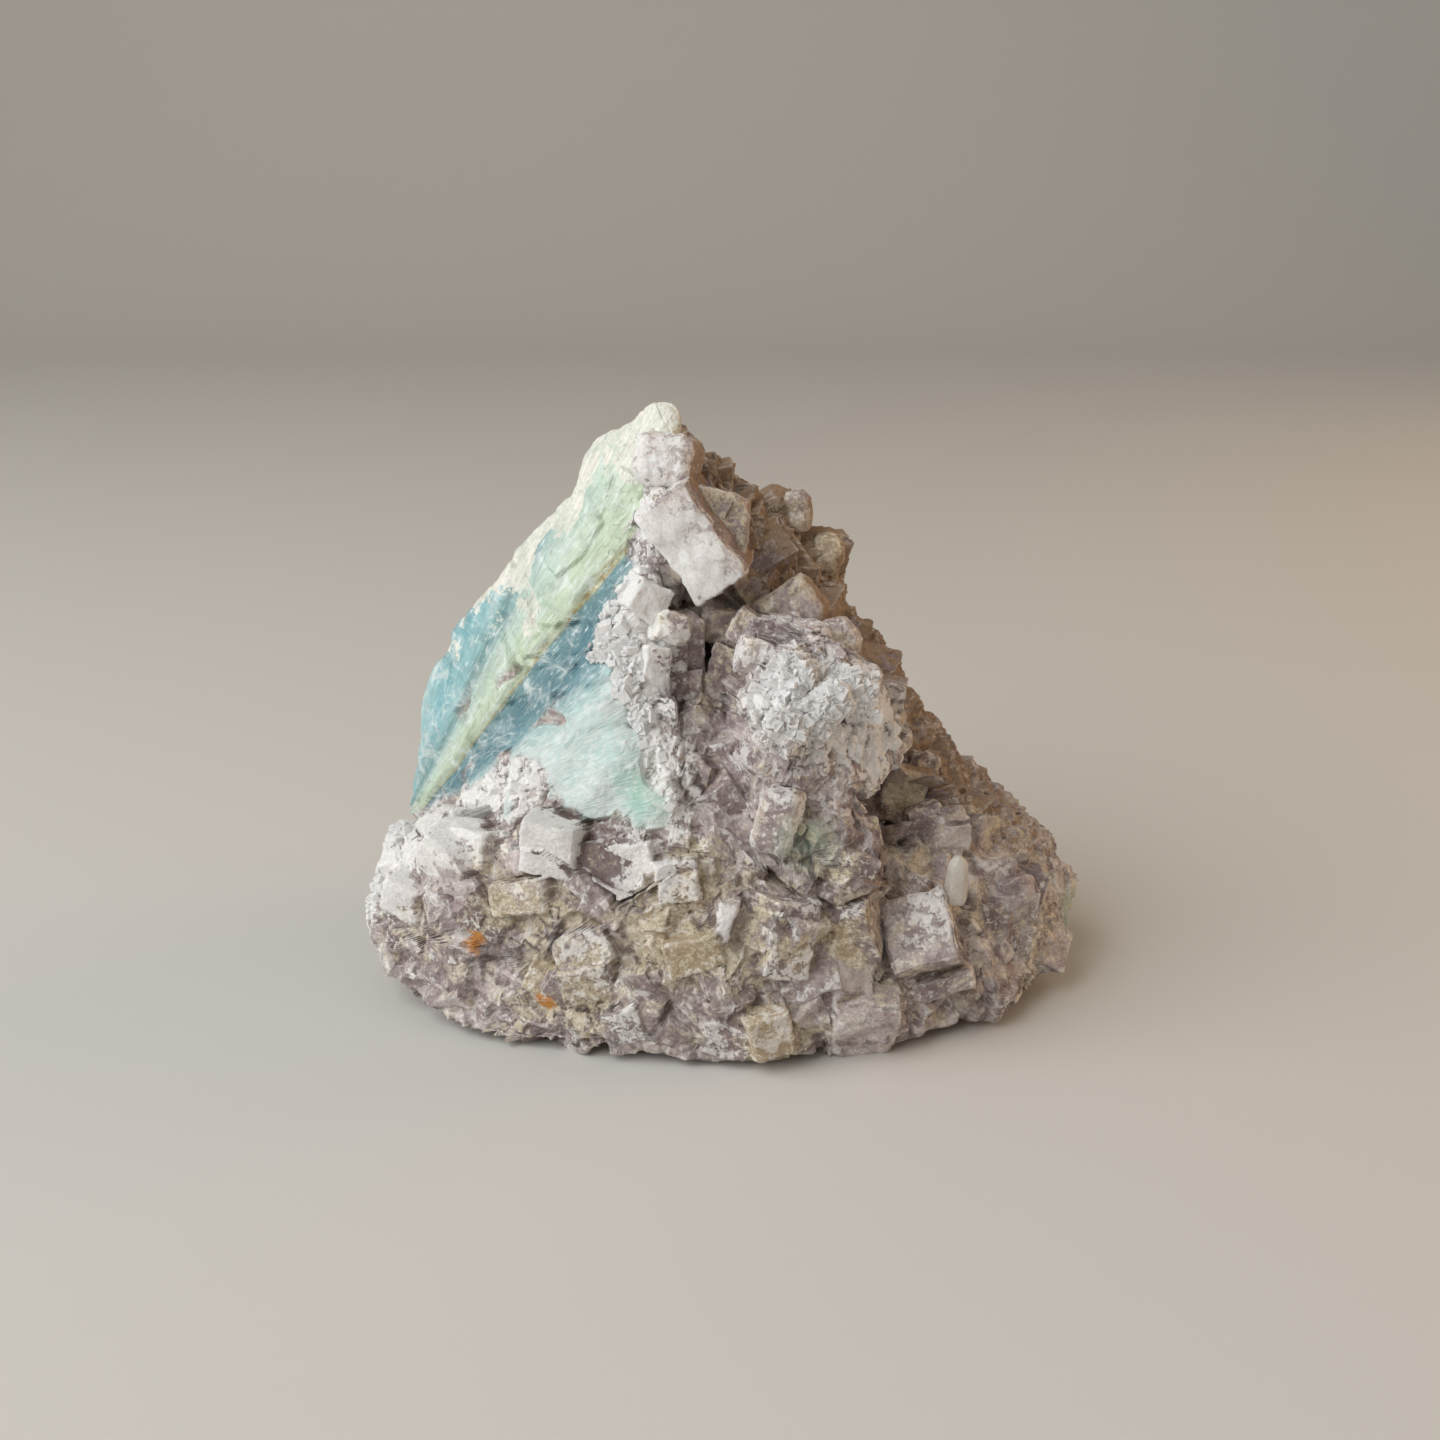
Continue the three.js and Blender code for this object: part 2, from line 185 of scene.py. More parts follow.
def leavesAt(starts, directions):
    # distance to where each ray leaves the last mass it crosses: the power mean of the distances to
    # the planes that it leaves through, which rounds the corners between them
    furthest = np.zeros(len(starts))
    for normals, offsets in massPlanes:
        slopes = directions @ normals.T
        distances = (offsets - starts @ normals.T) / np.where(slopes == 0, 1e-12, slopes)
        enter = np.where(slopes < -1e-6, distances, 0).max(axis=1)
        leaving = slopes > 1e-6
        leave = np.where(leaving, distances, np.inf).min(axis=1)
        powers = np.where(leaving, np.maximum(distances, 1e-3), np.inf) ** -float(stone["roundness"])
        softened = powers.sum(axis=1) ** (-1 / stone["roundness"])
        furthest = np.where(leave > np.maximum(enter, 0), np.maximum(furthest, softened), furthest)
    return furthest


def smoothstep(low, high, values):
    # 0 below low, 1 above high, and 3t squared less 2t cubed between them
    share = np.clip((values - low) / (high - low), 0, 1)
    return share * share * (3 - 2 * share)


def layerFrame():
    # unit vectors square to the line that the growth layers fan out from, and the line's own
    axis = np.array(stone["layerAxis"]) / np.linalg.norm(stone["layerAxis"])
    right = np.array([1, 0, 0]) - axis * axis[0]
    right /= np.linalg.norm(right)
    return right, np.cross(right, axis), axis


def layerAngle(points):
    # which growth layer a point is in: its angle round that line, in degrees
    right, up, _ = layerFrame()
    away = points - stone["layerEnd"]
    return np.degrees(np.arctan2(away @ up, away @ right))


def stripDistance(points, strip):
    # distance to a line between two ends, less a reach that changes evenly from one to the other
    start, end, first, last = np.array(strip[0]), np.array(strip[1]), strip[2], strip[3]
    line = end - start
    share = np.clip((points - start) @ line / (line @ line), 0, 1)
    return np.linalg.norm(points - start - share[:, None] * line, axis=1) - first - share * (last - first)


def crustDepth(points):
    # how far a point is into the crust: the least of its distances past two planes and out of each
    # strip, or into the low lobe or a spot if that is more
    planes = (stone["leftEdge"], stone["backEdge"], stone["lobeTop"])
    left, back, lobe = ((points - through) @ np.array(normal) for normal, through in planes)
    strips = [stripDistance(points, strip) for strip in stone["bareStrips"]]
    patches = [reach - np.linalg.norm(points - [x, y, z], axis=1) for x, y, z, reach in stone["crustSpots"]]
    inLobe = np.minimum(lobe, stone["lobeRight"] - points[:, 0])
    return np.max([np.min([left, back, *strips], axis=0), inLobe, *patches], axis=0)


def bells(points, spots):
    # a sum of bell curves: each is an amount times e to the minus square of the distance over the reach
    return sum(
        amount * np.exp(-((points - [x, y, z]) ** 2).sum(axis=1) / reach ** 2)
        for x, y, z, reach, amount in spots
    )


def skin(turns, climbs):
    # two parameters: turns run 0 to 1 round the stone, climbs 0 to 1 from the underside to the tip.
    # each point is where a ray from the spine leaves the masses, moved along the ray by lumps, growth
    # steps and hollows that fade out at the foot
    angle = turns * 2 * math.pi
    foot = stone["footShare"]
    tip = stone["tipShare"]
    low = np.clip(climbs / foot, 0, 1)
    high = np.clip((climbs - tip) / (1 - tip), 0, 1)
    along = np.clip((climbs - foot) / (tip - foot), 0, 1)[:, None]
    starts = (1 - along) * np.array(stone["spineFoot"]) + along * np.array(stone["spineTop"])
    reach = low * (1 - high)
    directions = np.stack([
        np.cos(angle) * reach,
        np.sin(angle) * reach,
        high - (1 - low) * stone["footSlope"],
    ], axis=1)
    directions /= np.linalg.norm(directions, axis=1)[:, None]
    points = starts + directions * leavesAt(starts, directions)[:, None]
    lumps = sum(h * np.sin(points @ np.array([x, y, z]) + phase) for h, x, y, z, phase in stone["waves"])
    angle = layerAngle(points)
    slope = stone["stepSlope"]
    steps = sum(
        height * (smoothstep(low - slope, low + slope, angle) - smoothstep(high - slope, high + slope, angle))
        for low, high, height in stone["layerSteps"]
    )
    steps = steps * smoothstep(1, -1, crustDepth(points))
    fade = smoothstep(0, stone["footFade"], points[:, 2])
    points = points + directions * (fade * (lumps + steps - bells(points, stone["hollows"])))[:, None]
    points[:, 2] = np.maximum(points[:, 2], 0)
    return points, directions


latticeCells = 32  # cells after which the noise comes again
seedCells = 16  # and after which the pattern of seeds does
seedMargin = 0.1  # how far a seed stays from its cell's sides


def latticeNoise(points, cell, seed):
    # random values from -1 to 1 on a cubic lattice, blended by smoothsteps between the eight nearest
    table = np.random.default_rng(seed).uniform(-1, 1, (latticeCells,) * 3)
    scaled = points / cell
    whole = np.floor(scaled).astype(int)
    part = scaled - whole
    part = part * part * (3 - 2 * part)
    total = np.zeros(len(points))
    for corner in np.ndindex(2, 2, 2):
        at = (whole + corner) % latticeCells
        weight = np.where(corner, part, 1 - part).prod(axis=1)
        total += weight * table[at[:, 0], at[:, 1], at[:, 2]]
    return total


def noiseSum(points, octaves, step=0):
    # lattice noises added up, each of a cell width and a seed, times its height
    return sum(latticeNoise(points, cell, seed + step) * height for cell, seed, height in octaves)


def noiseVectors(points, octaves, stride=2):
    # three such sums, for X, Y and Z, whose seeds count on by the stride
    return np.stack([noiseSum(points, octaves, axis * stride) for axis in range(3)], axis=1)


def nearestSeed(points, cell, seed):
    # one random seed in each cell of a cubic lattice: the table place of the nearest one, the way from
    # it to the point, in cells, and how much further the second nearest is
    table = (seedCells, seedCells, seedCells, 3)
    seeds = np.random.default_rng(seed).uniform(seedMargin, 1 - seedMargin, table)
    scaled = points / cell
    whole = np.floor(scaled).astype(int)
    least = np.full(len(points), np.inf)
    second = np.full(len(points), np.inf)
    place = np.zeros((len(points), 3), int)
    away = np.zeros((len(points), 3))
    for step in np.ndindex(3, 3, 3):
        at = whole + np.array(step) - 1
        wrapped = at % seedCells
        offset = scaled - at - seeds[wrapped[:, 0], wrapped[:, 1], wrapped[:, 2]]
        distance = np.sqrt(np.einsum("ni,ni->n", offset, offset))
        closer = distance < least
        second = np.where(closer, least, np.minimum(second, distance))
        least = np.where(closer, distance, least)
        place[closer] = wrapped[closer]
        away[closer] = offset[closer]
    return place, away, second - least


def chips(points, cell, seed, tilt=1.0):
    # broken chips: each seed's own tilted plane, so that the surface steps from chip to chip. gives
    # the height, about how far the point is from its chip's border, and a random number for each chip
    place, away, gap = nearestSeed(points, cell, seed)
    at = tuple(place.T)
    chance = np.random.default_rng(seed + 1)
    table = (seedCells, seedCells, seedCells)
    tilts = chance.uniform(-tilt, tilt, (*table, 3))[at]
    lifts = chance.uniform(-0.5, 0.5, table)[at]
    return lifts + (tilts * away).sum(axis=1), gap * cell / 2, chance.uniform(0, 1, table)[at]


# Spots: where the finish changes, as centre, reach and amount, in millimetres
spots = {
    "frost": [  # white, sugary
        [-15, 0, 118, 6, 0.6], [-12, -9, 111, 8, 0.8], [-15, -12, 99, 6, 0.8],
        [-15, -20, 99, 6, 1.0], [-6.5, -24, 91, 5.5, 1.4], [-19, -21, 86, 7, 1.2], [-20, -26, 76, 8, 1.2],
        [-18, -33, 67, 9, 1.2], [-14, -39, 58, 8, 0.9], [-10, -44, 50, 7, 0.8], [31, -35, 60, 9, 1.2],
        [12, -46, 73, 14, 1.0], [27, -42, 71, 11, 0.8],
        [-76, -20, 20, 10, 1.0], [-68, -10, 33, 10, 1.2], [-54, -24, 44, 11, 1.1], [-42, -30, 50, 9, 1.0],
        [-68, -26, 30, 10, 0.7], [-56, -32, 38, 9, 0.6],
        [-33, -45, 42, 6, 1.0], [-14, -50, 40, 8, 0.7], [-26, -40, 46, 6, 0.6],
        [-18, -58, 14, 9, 0.4], [14, -54, 14, 9, 0.4], [42, -42, 28, 7, 0.6], [-28, -56, 22, 6, 0.5],
    ],
    "ochre": [  # tan to yellow, fuzzy
        [-8, -54, 26, 9, 0.9], [10, -57, 6, 7, 1.0], [24, -50, 27, 5, 0.9], [-6, -50, 36, 6, 0.7],
        [-38, -48, 34, 8, 0.5], [-64, -34, 24, 7, 0.4], [-32, -52, 22, 8, 0.4], [12, -54, 24, 7, 0.4],
        [-28, -50, 10, 8, 0.5], [44, -38, 24, 4, 0.8], [-18, -14, 116, 6, 0.3], [0, 6, 108, 10, 0.7],
        [18, 6, 96, 16, 0.7], [42, 4, 62, 22, 0.6], [64, -4, 40, 14, 0.4], [36, -38, 60, 8, 0.4],
    ],
    "rust": [[-49, -44, 21, 3.6, 1.2], [-34.5, -49, 11, 3, 1.1]],
    "green": [
        [17, -50, 44, 7, 1.0], [0, -6, 64, 10, 0.8], [76, -8, 10, 10, 0.9], [-72, -26, 8, 7, 0.5],
        [-15, -42, 52, 7, 0.8],
    ],
    "deep": [
        [27, -48, 34, 8, 0.8], [-29, -43, 45, 6, 0.9], [-46, -44, 26, 8, 0.6], [40, -44, 20, 8, 0.9],
        [-24, -47, 42, 6, 0.8],
    ],
    "sugar": [  # loose white grains
        [12, -46, 73, 13, 1.0], [27, -42, 71, 10, 0.7], [-20, -20, 86, 5, 0.7], [-21, -25, 76, 6, 1.0],
        [-19, -33, 67, 6, 1.0], [-15, -39, 58, 5, 0.9], [-12, -44, 50, 5, 0.8],
        [-76, -20, 20, 8, 0.6], [-68, -10, 33, 8, 0.7], [-54, -24, 45, 7, 0.6], [-42, -30, 51, 6, 0.6],
        [-15, 0, 117, 5, 0.4], [-10, -12, 104, 5, 0.5],
    ],
    "pocket": [[1, -15, 70, 15, 1.2]],  # no crystal stands out here
    "fine": [  # crystals stay small
        [12, -46, 73, 13, 1.0], [27, -42, 68, 13, 1.0], [-20, -20, 86, 7, 0.9], [-21, -25, 76, 7, 1.0],
        [-19, -33, 67, 7, 1.0], [-15, -39, 58, 6, 0.9], [-54, -24, 46, 9, 0.8], [-42, -30, 50, 8, 0.9],
        [-68, -10, 33, 9, 0.9], [-12, -9, 111, 8, 0.8], [17, -50, 46, 10, 0.6], [-12, -48, 46, 9, 0.8],
    ],
}
shadedSpots = ["frost", "ochre", "rust", "green", "deep"]
mostOfSpots = 1.2  # where they overlap


def spotSum(points, kind):
    # the bell curves round the spots of one kind, added up and cut off at the most
    return np.clip(bells(points, spots[kind]), 0, mostOfSpots)


def meshFrom(name, points, faces, values, flat):
    # a mesh of faces with as many sides as the face table has columns, its vertices in millimetres,
    # one float attribute for each named row of values
    mesh = bpy.data.meshes.new(name)
    mesh.vertices.add(len(points))
    mesh.vertices.foreach_set("co", (points * mm).astype(np.float32).ravel())
    mesh.loops.add(faces.size)
    mesh.loops.foreach_set("vertex_index", faces.astype(np.int32).ravel())
    mesh.polygons.add(len(faces))
    mesh.polygons.foreach_set("loop_start", np.arange(0, faces.size, faces.shape[1], dtype=np.int32))
    mesh.polygons.foreach_set("use_smooth", ~np.broadcast_to(flat, len(faces)))
    for key, value in values.items():
        attribute = mesh.attributes.new(key, "FLOAT", "POINT")
        attribute.data.foreach_set("value", value.astype(np.float32))
    mesh.update(calc_edges=True)
    mesh.validate()
    piece = bpy.data.objects.new(name, mesh)
    bpy.context.scene.collection.objects.link(piece)
    return piece


def finishPiece(piece, material):
    # the piece stands in for the solid, rides its body and is of its one material slot
    piece.data.materials.append(material)
    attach(piece, "root")
    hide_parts(node)
    print(piece.name, len(piece.data.polygons), "faces")
    return piece


def blurred(field, down, along=None):
    # the mean over so many grid places to each side, which wraps round the columns and stops at the
    # last rows
    along = down if along is None else along
    across = sum(np.roll(field, step, axis=1) for step in range(-along, along + 1))
    ends = [(down, down)] + [(0, 0)] * (field.ndim - 1)
    padded = np.pad(across, ends, mode="edge")
    total = sum(padded[step:step + len(field)] for step in range(2 * down + 1))
    return total / (2 * down + 1) / (2 * along + 1)


def unit(vectors):
    # each vector over its own length
    return vectors / np.maximum(np.linalg.norm(vectors, axis=-1), 1e-9)[..., None]


def gridNormals(points, reach):
    # the cross product of the steps along a row and up a column, evened out over so many grid places
    alongRow = np.roll(points, -1, axis=1) - np.roll(points, 1, axis=1)
    return unit(blurred(unit(np.cross(alongRow, np.gradient(points, axis=0))), reach))


def respaced(field, lengths, count):
    # each row's values read at places that share its length out evenly
    total = np.cumsum(np.pad(lengths, ((0, 0), (1, 0))), axis=1)
    wanted = np.linspace(0, 1, count)
    known = np.arange(field.shape[1])
    places = np.stack([np.interp(wanted, row / row[-1], known) for row in total])
    whole = np.minimum(places.astype(int), field.shape[1] - 2)
    part = (places - whole)[..., None]
    rows = np.arange(len(field))[:, None]
    return field[rows, whole] * (1 - part) + field[rows, whole + 1] * part


def stoneGrid():
    # the skin on a grid, and the way outwards there. rays meet it unevenly, so the rows are spaced out
    # evenly up each column and then the columns along each row, closer together on the show side
    turns = np.arange(stone["columns"]) / stone["columns"]
    share = np.arange(1, stone["rows"]) / stone["rows"]
    footRows, footClimb = stone["footRows"], stone["footClimb"]
    above = footClimb + (1 - footClimb) * (share - footRows) / (1 - footRows)
    climbs = np.where(share < footRows, share / footRows * footClimb, above)
    batches = np.array_split(climbs, stone["batches"])
    parts = [skin(np.tile(turns, len(batch)), np.repeat(batch, len(turns))) for batch in batches]
    grid = np.concatenate([np.concatenate(part, axis=1) for part in parts])
    grid = grid.reshape(len(climbs), len(turns), 6)
    first = int(stone["rows"] * footRows)
    upper = grid[first:]
    lengths = np.linalg.norm(np.diff(upper[..., :3], axis=0), axis=2)
    along, across = stone["spacingEvened"]
    lengths = blurred(lengths, along, across).T
    upper = respaced(np.swapaxes(upper, 0, 1), lengths, len(upper))
    grid = np.concatenate([grid[:first], np.swapaxes(upper, 0, 1)])
    closed = np.concatenate([grid, grid[:, :1]], axis=1)
    lengths = np.linalg.norm(np.diff(closed[..., :3], axis=1), axis=2)
    lengths *= 1 + stone["frontCrowding"] * np.clip(-grid[..., 4], 0, 1)
    grid = respaced(closed, blurred(lengths, across, along), closed.shape[1])[:, :-1]
    points = grid[..., :3]
    return points, unit(gridNormals(points, stone["evened"]) + stone["spineDrift"] * grid[..., 3:])


skinGrid, outwardGrid = stoneGrid()
print("skin worked out")


def scatterOn(points, normals, count, seed, weigh):
    # random points of a grid, evenly spread over its area times a weight, and the normals there
    low = points[:-1]
    high = points[1:]
    lowNext = np.roll(low, -1, axis=1)
    area = np.linalg.norm(np.cross(lowNext - low, high - low), axis=2).ravel()
    weight = area * weigh(low.reshape(-1, 3))
    chance = np.random.default_rng(seed)
    picked = chance.choice(len(weight), count, p=weight / weight.sum())
    u, v = chance.uniform(0, 1, (2, count, 1))
    corners = [part.reshape(-1, 3)[picked] for part in (low, lowNext, high)]
    places = corners[0] + u * (corners[1] - corners[0]) + v * (corners[2] - corners[0])
    return places, normals[:-1].reshape(-1, 3)[picked]


# Crystals that stand out of the crust
cubes = {
    "large": [  # centre, edge, turns in degrees about X, Y and Z
        [-53, -30, 35, 11, 32, 14, -40], [-64, -26, 24, 8, 10, 12, -30], [14, -46, 27, 13, 26, 24, 36],
        [25, -44, 26, 12, 14, -18, -14], [40, -22, 43, 11, 12, 22, 30], [47, -24, 38, 7, 10, 6, 16],
        [59, -22, 21, 10, 8, 14, 24], [27, -43, 35, 10, 30, 34, 18], [-16, -48, 11, 11, 14, 24, -20],
        [13, 13, 96, 8, 20, 30, 10], [22, 13, 87, 9, 24, 10, 30],
    ],
    "strewn": 140,
    "smallest": 5,
    "largest": 11,
    "lean": 30,  # greatest lean of a strewn cube off the face that it grows on, in degrees
    "sunk": 0.33,  # share of its edge by which a strewn cube's centre lies under the skin
    "deeper": 0.14,  # the skin's chips fill up this much round them, so they lie deeper by it
    "lowestClimb": 0.2,
    "highestClimb": 0.96,
    "steps": [  # of the additive scatter: its turn, climb and edge, and three for its lean
        0.754877666, 0.569840291, 0.381966011, 0.414213562, 0.732050808, 0.236067977,
    ],
    "tried": 2000,  # places of the scatter that the strewn ones are picked from
    "smallShare": 0.45,  # how much smaller they are where crystals stay small
    "softness": 0.25,  # how rounded the edges are
    "tallest": [2.5, 0.7],  # how far a crystal may stand out of the skin, and that share of its longest side
    "margin": 5,  # how far past its corners a crystal is looked for
    "blunt": [0.5, 0.02],  # width of the smooth minimum: share of the softness, and more
    "steepest": 1e-4,  # the least part of a ray along one of its axes
    "seed": 7,
}
noEdge = 9.0  # distance to the nearest crystal edge where there is none
blocks = {  # the smaller ones between them
    "count": 1300,
    "smallest": 3,
    "largest": 11,
    "smallShare": 0.6,  # how much smaller they are where crystals stay small
    "crowding": 1,  # how much more of them there are there
    "leastProud": 0.01,  # how far one stands out of the skin, as shares of its edge
    "mostProud": 0.13,
    "patch": 17,  # width of a patch in which they all stand the same way
    "lean": 34,  # greatest lean of a patch, in degrees
    "ownLean": 9,
    "stretch": [0.7, 1.4],  # least and greatest side of one, as shares of its edge
    "atBorder": 1.5,  # greatest edge where the crust begins
    "border": [0.4, 1.2],  # depth into the crust where they begin, and where they are all there
    "pocket": 1.6,  # how many fewer of them stand in the pocket
    "lookStep": 3,  # every so many grid places the skin is looked at, for one that would float
    "softness": 0.1,
    "seed": 71,
}
crystallites = blocks | {
    "count": 2600,
    "smallest": 1.4,
    "largest": 5,
    "smallShare": 0.25,
    "crowding": 4,
    "leastProud": 0.05,
    "mostProud": 0.3,
    "patch": 6,
    "lean": 45,
    "softness": 0.05,
    "seed": 171,
}


features = {  # middle of the front face; width, height, depth; yaw, pitch, roll; rounding; frost, ochre, deep
    "frostedBlock": [-5.6, -23.5, 96.3, 21.5, 12.5, 16, -6, -4, 54, 0.35, 0.55, 0.1, -0.5],
    "upperBlock": [0.5, -17, 100.5, 12, 12, 12, 15, 22, 15, 0.8, 0.15, 0.2, 0.0],
    "knob": [-11.4, -15.5, 112, 13, 11, 12, -6, 12, 5, 3.0, 0.5, 0.0, -0.9],
    "tinyPoint": [-6, -14, 106.5, 2, 6, 6, 10, 0, -12, 0.8, 0.4, 0.0, 0.0],
    "lilacBlock": [13, -17, 81, 15, 11, 13, -8, 12, -38, 2.2, 0.15, 0.1, 0.2],
    "domeRight": [24, -26, 78.5, 10, 8.5, 10, 14, 16, -10, 2.8, 0.3, 0.2, 0.0],
    "domeLeft": [16.8, -29, 79, 9.5, 7.5, 9, -8, 14, 4, 2.2, 0.5, 0.0, 0.2],
    "flatCube": [7, -32, 76, 7.4, 7.2, 6, 0, 8, 20, 0.3, 0.3, 0.0, 0.0],
    "bulgeTop": [14, -43, 77, 6, 6, 6, -20, 25, 25, 0.6, 1.0, 0.0, 0.0],
    "bulgeMiddle": [21, -46, 71, 7, 5, 6, 12, 10, -28, 0.5, 0.5, 0.0, 0.3],
    "bulgeRight": [29, -42, 72, 7, 8, 7, 30, 20, 15, 1.5, 0.7, 0.1, 0.0],
    "bulgeLeft": [6, -40, 70, 7, 6, 6, -30, 8, 40, 0.8, 0.4, 0.1, 0.2],
    "bulgeLow": [12, -49, 66, 6, 6, 5, -10, -5, 30, 0.6, 0.8, 0.0, 0.1],
    "pinkWhiteBlock": [-34, -48, 42, 11, 11, 9, -8, -2, 6, 1.4, 0.75, 0.0, 0.0],
    "pinkLump": [-54, -36, 39, 12, 8, 9, -30, 22, -6, 3.2, 0.3, 0.35, 0.0],
    "mauveSquare": [-47, -44, 26, 9.5, 7.5, 6, -18, -6, 28, 0.4, 0.0, 0.0, 1.0],
    "tanSquare": [-65, -31, 23, 5, 5.5, 5, -28, 4, 3, 0.5, 0.2, 0.45, 0.0],
    "lilacCube": [-8, -51, 37, 8.5, 8.5, 8, -2, 6, -8, 0.4, 0.2, 0.0, 0.1],
    "lilacPlate": [-18, -47, 38, 11, 10, 6, -14, 4, -15, 0.8, 0.3, 0.0, 0.2],
    "mauveTriangle": [-22, -49, 32, 9, 7.5, 6, -6, 14, 22, 0.4, 0.0, 0.0, 1.0],
    "tanPlate": [-40, -47, 32, 12, 7, 6, -14, 8, -10, 2.0, 0.3, 0.5, 0.2],
    "whiteGrains": [-27, -51, 23, 11, 7, 6, -6, 8, -18, 2.0, 0.7, 0.0, 0.5],
    "ochreYellow": [-5, -56, 24, 11, 7, 6, 0, 4, -18, 2.6, 0.3, 0.8, 0.0],
    "whiteSliver": [1, -55, 30, 3.2, 9, 5, -6, 6, 12, 0.8, 0.9, 0.0, 0.0],
    "tanWedge": [-34, -49, 16, 8, 8, 6, -10, 6, 25, 1.2, 0.2, 0.75, 0.0],
    "mauveFace": [-26, -53, 16, 10, 8, 6, 2, -4, -12, 0.7, 0.1, 0.1, 0.6],
    "clearChip": [-19, -54, 8, 8, 7.5, 6, -8, -6, -20, 0.7, 0.6, 0.0, 0.0],
    "bigCube": [38.6, -45.5, 25, 14, 15, 13, -14, 34, -22, 0.5, 0.15, 0.05, 0.1],
    "whiteBand": [43.4, -46, 12, 15, 4, 8, 8, 4, -17, 0.6, 0.4, 0.0, 0.0],
    "pendantRight": [28, -50, 38, 6.5, 7.5, 6, 18, 6, 24, 1.2, 0.1, 0.0, 0.4],
    "pendantTip": [25, -50, 33, 6, 6, 6, 5, -6, 40, 1.2, 0.1, 0.0, 0.4],
    "pendantLeft": [10, -49, 48, 8, 14, 6, -22, 0, 12, 1.5, 0.4, 0.0, 0.2],
    "ochreBrick": [26, -52, 24, 6.5, 8.5, 7, 12, 2, 8, 0.9, 0.0, 1.2, 0.0],
    "sheenBlade": [8, -54, 30, 5, 11, 6, -34, 12, 10, 0.4, 0.75, 0.0, 0.1],
    "tanBlade": [14, -54, 26, 9, 16, 8, 16, 2, 12, 1.4, 0.25, 0.45, 0.0],
    "bottomOchre": [10, -59, 8, 9, 9.5, 9, 14, -2, -8, 1.0, 0.0, 1.3, 0.0],
    "bottomLilac": [1, -57, 6, 9, 8, 9, -8, -4, 10, 0.9, 0.55, 0.0, 0.3],
    "columnLeft": [56, -31, 19, 5, 9, 6, 22, 4, 4, 0.6, 0.4, 0.1, 0.5],
    "columnMiddle": [59.6, -29.5, 14, 5, 9, 8, 24, 4, 2, 0.5, 0.45, 0.1, 0.2],
    "columnRight": [62.5, -26.5, 22.5, 8.5, 11, 9, 26, 8, -4, 1.3, 0.2, 0.1, 0.1],
    "rightStep": [58, -25, 28, 8, 7, 8, 24, 12, 6, 0.8, 0.3, 0.3, 0.2],
    "behindPoint": [48, -28, 38, 7, 9, 7, 18, 8, 10, 0.8, 0.3, 0.3, 0.2],
    "slopeBlock": [38, -20.5, 42.5, 10, 10, 12, 20, 18, 18, 0.6, 0.25, 0.2, 0.2],
    "slopeLow": [43, -25, 38.5, 8, 8.5, 10, 14, 14, -12, 0.6, 0.3, 0.2, 0.3],
    "slopeHigh": [42.5, -12.5, 46, 7, 8.5, 10, 24, 24, 30, 0.6, 0.1, 0.4, 0.0],
    "plateHigh": [-13.4, -24, 85.6, 8, 7, 12, 18, 4, 34, 0.3, 0.35, 0.1, 0.1],
    "plateAmber": [-9.3, -26, 80.5, 7, 6, 12, 12, 8, 20, 0.3, 0.3, 0.9, 0.0],
    "plateLong": [-8.5, -25, 73.2, 5, 14, 12, 20, 0, -3, 0.3, 0.1, 0.2, 0.3],
    "plateInner": [-4.8, -22, 74.8, 4.5, 13, 12, 24, 0, -2, 0.3, 0.0, 0.2, 0.5],
    "plateLow": [-12.1, -28, 70.3, 5.5, 13, 12, 16, 2, 4, 0.3, 0.2, 0.3, 0.1],
    "pocketLow": [-6.8, -24, 68, 7, 7, 9, 10, 2, 2, 0.4, 0.1, 0.2, 0.6],
    "shelfLeft": [5.5, -24, 80, 7, 7, 9, -4, 10, 30, 0.5, 0.2, 0.2, 0.2],
    "shelfMiddle": [11, -27.5, 76.5, 8, 6.5, 9, 6, 16, -14, 0.5, 0.5, 0.1, 0.1],
    "pocketFloor": [-1.5, -22, 67, 9, 7, 9, 4, 14, 4, 0.4, 0.0, 0.1, 0.8],
    "pocketRight": [1.5, -23, 71.5, 8, 9, 8, -12, 10, 14, 0.4, 0.0, 0.1, 1.0],
    "shelfTop": [11.8, -25, 80.5, 10, 6, 9, 8, 22, -8, 0.5, 0.4, 0.1, 0.1],
    "pocketCube": [1, -17, 78.5, 8.5, 6.5, 10, 4, 6, 3, 0.4, 0.0, 0.1, 0.8],
    "skylineKnob": [17, 6, 97, 5.5, 9, 7, 10, 6, -12, 2.4, 0.35, 0.0, 0.0],
    "skylineBlock": [23, 6, 88, 8, 9, 9, 10, 10, 24, 3.2, 0.25, 0.1, 0.0],
}
featureProud = [0.5, 3.0]  # least and greatest height of a front face's middle over the skin

standing = [  # features that are solids of their own, and stand too far out for the skin to rise to them
    "knob", "tinyPoint", "frostedBlock", "upperBlock", "lilacBlock", "domeRight", "domeLeft", "flatCube",
    "plateHigh", "plateAmber", "plateLong", "plateInner", "plateLow", "pocketCube", "pocketLow",
    "pocketFloor", "pocketRight", "shelfTop", "shelfLeft", "shelfMiddle", "slopeBlock", "slopeLow",
    "slopeHigh", "bigCube", "whiteBand", "columnMiddle", "columnRight", "pendantLeft", "skylineKnob",
    "skylineBlock",
]


